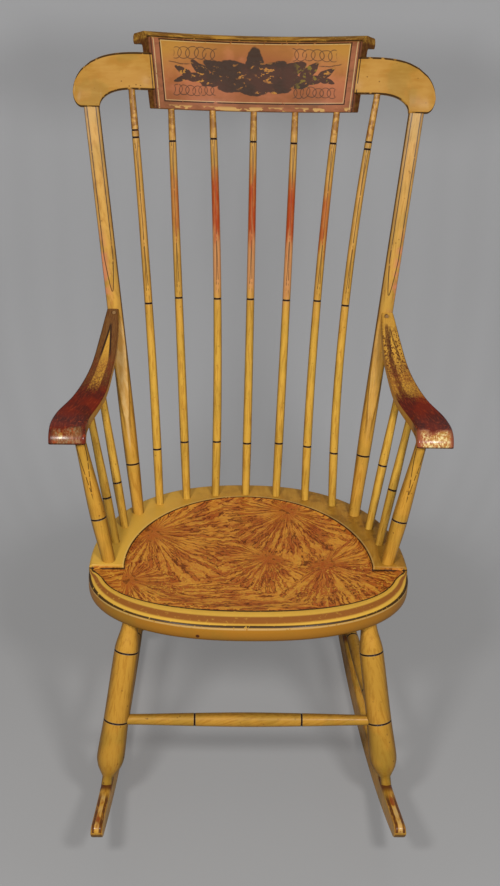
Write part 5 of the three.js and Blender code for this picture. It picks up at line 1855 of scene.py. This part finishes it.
class CHAIR_OT_stretchers(ChairOperator):
    """Turns the front, rear and side stretchers"""

    bl_idname = "chair.stretchers"
    bl_label = "Stretchers"

    def build(self):
        material = painted("Leg paint", leg_paint)
        front = leg_point(FRONT_LEG, LEG_LOWER_RING)
        rear = leg_point(REAR_LEG, REAR_STRETCHER_DROP)
        side_drop = LEG_LOWER_RING + SIDE_STRETCHER_DROP
        side_ends = leg_point(FRONT_LEG, side_drop), leg_point(REAR_LEG, side_drop)
        bars = {
            "front": stretcher("front_stretcher_turning", on_side(front, "right"), front),
            "rear": stretcher("rear_stretcher_turning", on_side(rear, "right"), rear),
            "left_side": stretcher("left_stretcher_turning", *side_ends),
        }
        bars["right_side"] = mirrored(bars["left_side"], "right_stretcher_turning")
        for place, bar in bars.items():
            finish(bar, f"{place}_stretcher", material)


ROCKER_STATIONS = 90
ROCKER_TOP_ROUND, ROCKER_BOTTOM_ROUND = mm(5, 2.5)


def rocker_rings():
    base = sizes("base")
    step = (ROCKER_FRONT_REACH + ROCKER_REAR_REACH) / ROCKER_FACETS
    first = ROCKER_LOWEST_Y + (math.ceil(-ROCKER_FRONT_REACH / step - 0.5) + 0.5) * step
    last = ROCKER_LOWEST_Y + (math.floor(ROCKER_REAR_REACH / step - 0.5) + 0.5) * step
    nose = base.rocker_tip_depth / 2
    rounded = quarter(10)[1:-1]
    stations = [(first - nose * c, nose * (1 - s)) for s, c in rounded]
    stations += [(mix(first, last, i / ROCKER_STATIONS), 0) for i in range(ROCKER_STATIONS + 1)]
    stations += [(last + nose * c, nose * (1 - s)) for s, c in reversed(rounded)]
    half = base.rocker_thickness / 2
    rings, marks = [], []
    for y, shrink in stations:
        bottom, top = rocker_bottom(y) + shrink, rocker_top(y) - shrink
        crown, heel = (min(r, (top - bottom) / 3) for r in (ROCKER_TOP_ROUND, ROCKER_BOTTOM_ROUND))
        outline = rounded_box(half, bottom, top, heel, crown)
        x = rocker_x(y)
        rings.append([Vector((x + dx, WIDEST_Y + y, z)) for dx, z in outline])
        marks.append([(dx, y, (z - bottom) / (top - bottom)) for dx, z in outline])
    return rings, marks


class CHAIR_OT_rockers(ChairOperator):
    """Models the two rockers on one long curve"""

    bl_idname = "chair.rockers"
    bl_label = "Rockers"

    def build(self):
        rings, marks = rocker_rings()
        left = lofted("left_rocker_runner", rings, {"rocker_place": marks})
        face_outwards(left)
        shade(left, 40)
        right = mirrored(left, "right_rocker_runner")
        shade(right, 40)
        for side, runner in (("left", left), ("right", right)):
            finish(runner, f"{side}_rocker", painted("Rocker paint", rocker_paint))


class CHAIR_OT_pins(ChairOperator):
    """Gives the pins and pegs of the frame their end-grain wood"""

    bl_idname = "chair.pins"
    bl_label = "Pins and pegs"

    def build(self):
        for name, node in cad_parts.items():
            if name.endswith(("_pin", "_peg")):
                node.data.materials.clear()
                node.data.materials.append(painted("End grain wood", end_grain))


PAPER_SIZE, PAPER_HEIGHT, PAPER_GAP, GLOW_SHARE = 14, 3, 0.0004, 0.4
RIGHT_LAMP, LEFT_LAMP, BACK_LAMP = (-0.62, -1.3, 1.5), (0.52, -1.35, 1.5), (0.2, 2.4, 2.6)
BACK_LAMP_WIDTH, LAMP_AIM = 2.4, (0, 0, 0.5)
SENSOR_HEIGHT = 36


class CHAIR_OT_stage(ChairOperator):
    """Sets the seamless paper, the lamps and the camera"""

    bl_idname = "chair.stage"
    bl_label = "Stage"

    def build(self):
        stage = sizes("stage")
        self.paper(stage)
        self.lamps(stage)
        self.camera(stage)

    def paper(self, stage):
        """A wide floor, and a round backdrop that is seen only from inside it."""
        material = painted("Backdrop paper", backdrop_paper)
        start_fresh()
        bpy.ops.mesh.primitive_plane_add(size=PAPER_SIZE, location=(0, 0, 0))
        floor = bpy.context.object
        floor.name = floor.data.name = "paper_floor"
        start_fresh()
        reach, bend = stage.wall_radius - stage.sweep, quarter(14)
        bpy.ops.mesh.primitive_circle_add(
            vertices=96, radius=reach, fill_type="NOTHING", location=(0, 0, PAPER_GAP)
        )
        wall = bpy.context.object
        wall.name = wall.data.name = "paper_wall"
        bpy.ops.object.mode_set(mode="EDIT")
        bpy.ops.mesh.select_mode(type="EDGE")
        bpy.ops.mesh.select_all(action="SELECT")
        for (_, before), (s, c) in zip(bend, bend[1:]):
            wider = stage.wall_radius - stage.sweep * (1 - s)
            draw_out(stage.sweep * (before - c), wider / reach, 0)
            reach = wider
        draw_out(PAPER_HEIGHT)
        bpy.ops.mesh.select_all(action="SELECT")
        bpy.ops.mesh.normals_make_consistent(inside=True)
        bpy.ops.object.mode_set(mode="OBJECT")
        bpy.ops.object.transform_apply(location=True, rotation=True, scale=True)
        shade(wall, 60)
        wall.visible_diffuse = wall.visible_glossy = wall.visible_shadow = False
        for paper in (floor, wall):
            paper.data.materials.append(material)

    def lamps(self, stage):
        for name, place, width, power in (
            ("right_hand_lamp", RIGHT_LAMP, stage.lamp_width, stage.right_power),
            ("left_hand_lamp", LEFT_LAMP, stage.lamp_width, stage.left_power),
            ("back_lamp", BACK_LAMP, BACK_LAMP_WIDTH, stage.back_power),
        ):
            start_fresh()
            bpy.ops.object.light_add(type="AREA", location=place)
            lamp = bpy.context.object
            lamp.name = name
            lamp.data.shape = "DISK"
            lamp.data.size = width
            lamp.data.energy = power
            lamp.visible_glossy = name != "back_lamp"
            aim = Vector(LAMP_AIM) - Vector(place)
            lamp.rotation_euler = aim.to_track_quat("-Z", "Y").to_euler()
        world = bpy.context.scene.world or bpy.data.worlds.new("Studio air")
        bpy.context.scene.world = world
        paint = Paint(world)
        air = paint.tree.nodes["Background"]
        paint.link((1, 1, 1, 1), air.inputs["Color"])
        paint.link(stage.sky, air.inputs["Strength"])
        seen = paint.node("ShaderNodeBackground", values={"Color": stage.backdrop_floor})
        on_camera = paint.node("ShaderNodeLightPath", output="Is Camera Ray")
        values = {0: on_camera, 1: air.outputs[0], 2: seen}
        either = paint.node("ShaderNodeMixShader", values=values)
        paint.link(either, paint.tree.nodes["World Output"].inputs[0])

    def camera(self, stage):
        start_fresh()
        bpy.ops.object.camera_add(location=stage.camera_place)
        camera = bpy.context.object
        camera.name = "photo_camera"
        yaw, pitch, roll = stage.camera_yaw, stage.camera_pitch, stage.camera_roll
        ahead = Vector(
            (math.sin(yaw) * math.cos(pitch), math.cos(yaw) * math.cos(pitch), -math.sin(pitch))
        )
        level = Vector((math.cos(yaw), -math.sin(yaw), 0))
        above = level.cross(ahead)
        right = level * math.cos(roll) + above * math.sin(roll)
        up = above * math.cos(roll) - level * math.sin(roll)
        turn = Matrix((right, up, -ahead)).transposed()
        camera.rotation_euler = turn.to_euler()
        camera.data.sensor_fit = "VERTICAL"
        camera.data.sensor_height = SENSOR_HEIGHT
        camera.data.lens = stage.lens
        bpy.context.scene.camera = camera


def backdrop_paper(paint):
    """Grey paper, see-through from behind, evened out by a glow that only the camera sees."""
    place, x, y, _ = paint.place()
    stage = sizes("stage")
    far = (x * x + y * y) ** 0.5
    paint.colour = paint.mixed(stage.backdrop_floor, stage.backdrop, far.rise(0.45, stage.wall_radius))
    paint.coat(stage.backdrop_floor, paint.noise(place, 1.5, 2) * 0.2)
    paint.done(0.9)
    paint.link(PAPER_SPECULAR, paint.shader.inputs["Specular IOR Level"])
    glow = paint.node("ShaderNodeEmission", values={"Color": stage.backdrop_glow})
    seen = paint.node("ShaderNodeLightPath", output="Is Camera Ray")
    clear = paint.node("ShaderNodeBsdfTransparent")
    behind = paint.node("ShaderNodeNewGeometry", output="Backfacing")
    paper = paint.shader.outputs[0]
    evened = paint.node("ShaderNodeMixShader", values={0: seen * GLOW_SHARE, 1: paper, 2: glow})
    either = paint.node("ShaderNodeMixShader", values={0: behind, 1: evened, 2: clear})
    paint.link(either, paint.tree.nodes["Material Output"].inputs[0])
    return paint.owner


OPERATORS = (
    CHAIR_OT_seat,
    CHAIR_OT_crest,
    CHAIR_OT_posts,
    CHAIR_OT_spindles,
    CHAIR_OT_arms,
    CHAIR_OT_arm_sticks,
    CHAIR_OT_legs,
    CHAIR_OT_stretchers,
    CHAIR_OT_rockers,
    CHAIR_OT_pins,
    CHAIR_OT_stage,
)


class CHAIR_PT_pieces(bpy.types.Panel):
    """Lists the pieces of the rocking chair, with their sizes and colours"""

    bl_idname = "CHAIR_PT_pieces"
    bl_label = "Boston Rocking Chair"
    bl_space_type = "VIEW_3D"
    bl_region_type = "UI"
    bl_category = "Chair"

    def draw(self, context):
        for operator in OPERATORS:
            self.layout.operator(operator.bl_idname)
        for name, group in GROUPS.items():
            box = self.layout.box()
            settings = getattr(context.scene, name)
            for field in group.__annotations__:
                box.prop(settings, field)


CLASSES = (*GROUPS.values(), *OPERATORS, CHAIR_PT_pieces)


def register():
    for each in CLASSES:
        bpy.utils.register_class(each)
    for name, group in GROUPS.items():
        setattr(bpy.types.Scene, name, bpy.props.PointerProperty(type=group))


def unregister():
    for name in GROUPS:
        delattr(bpy.types.Scene, name)
    for each in reversed(CLASSES):
        bpy.utils.unregister_class(each)


def main():
    register()
    for operator in OPERATORS:
        getattr(bpy.ops.chair, operator.bl_idname.split(".")[1])()
    bpy.context.scene.view_settings.view_transform = "Standard"


if __name__ == "__main__":
    main()
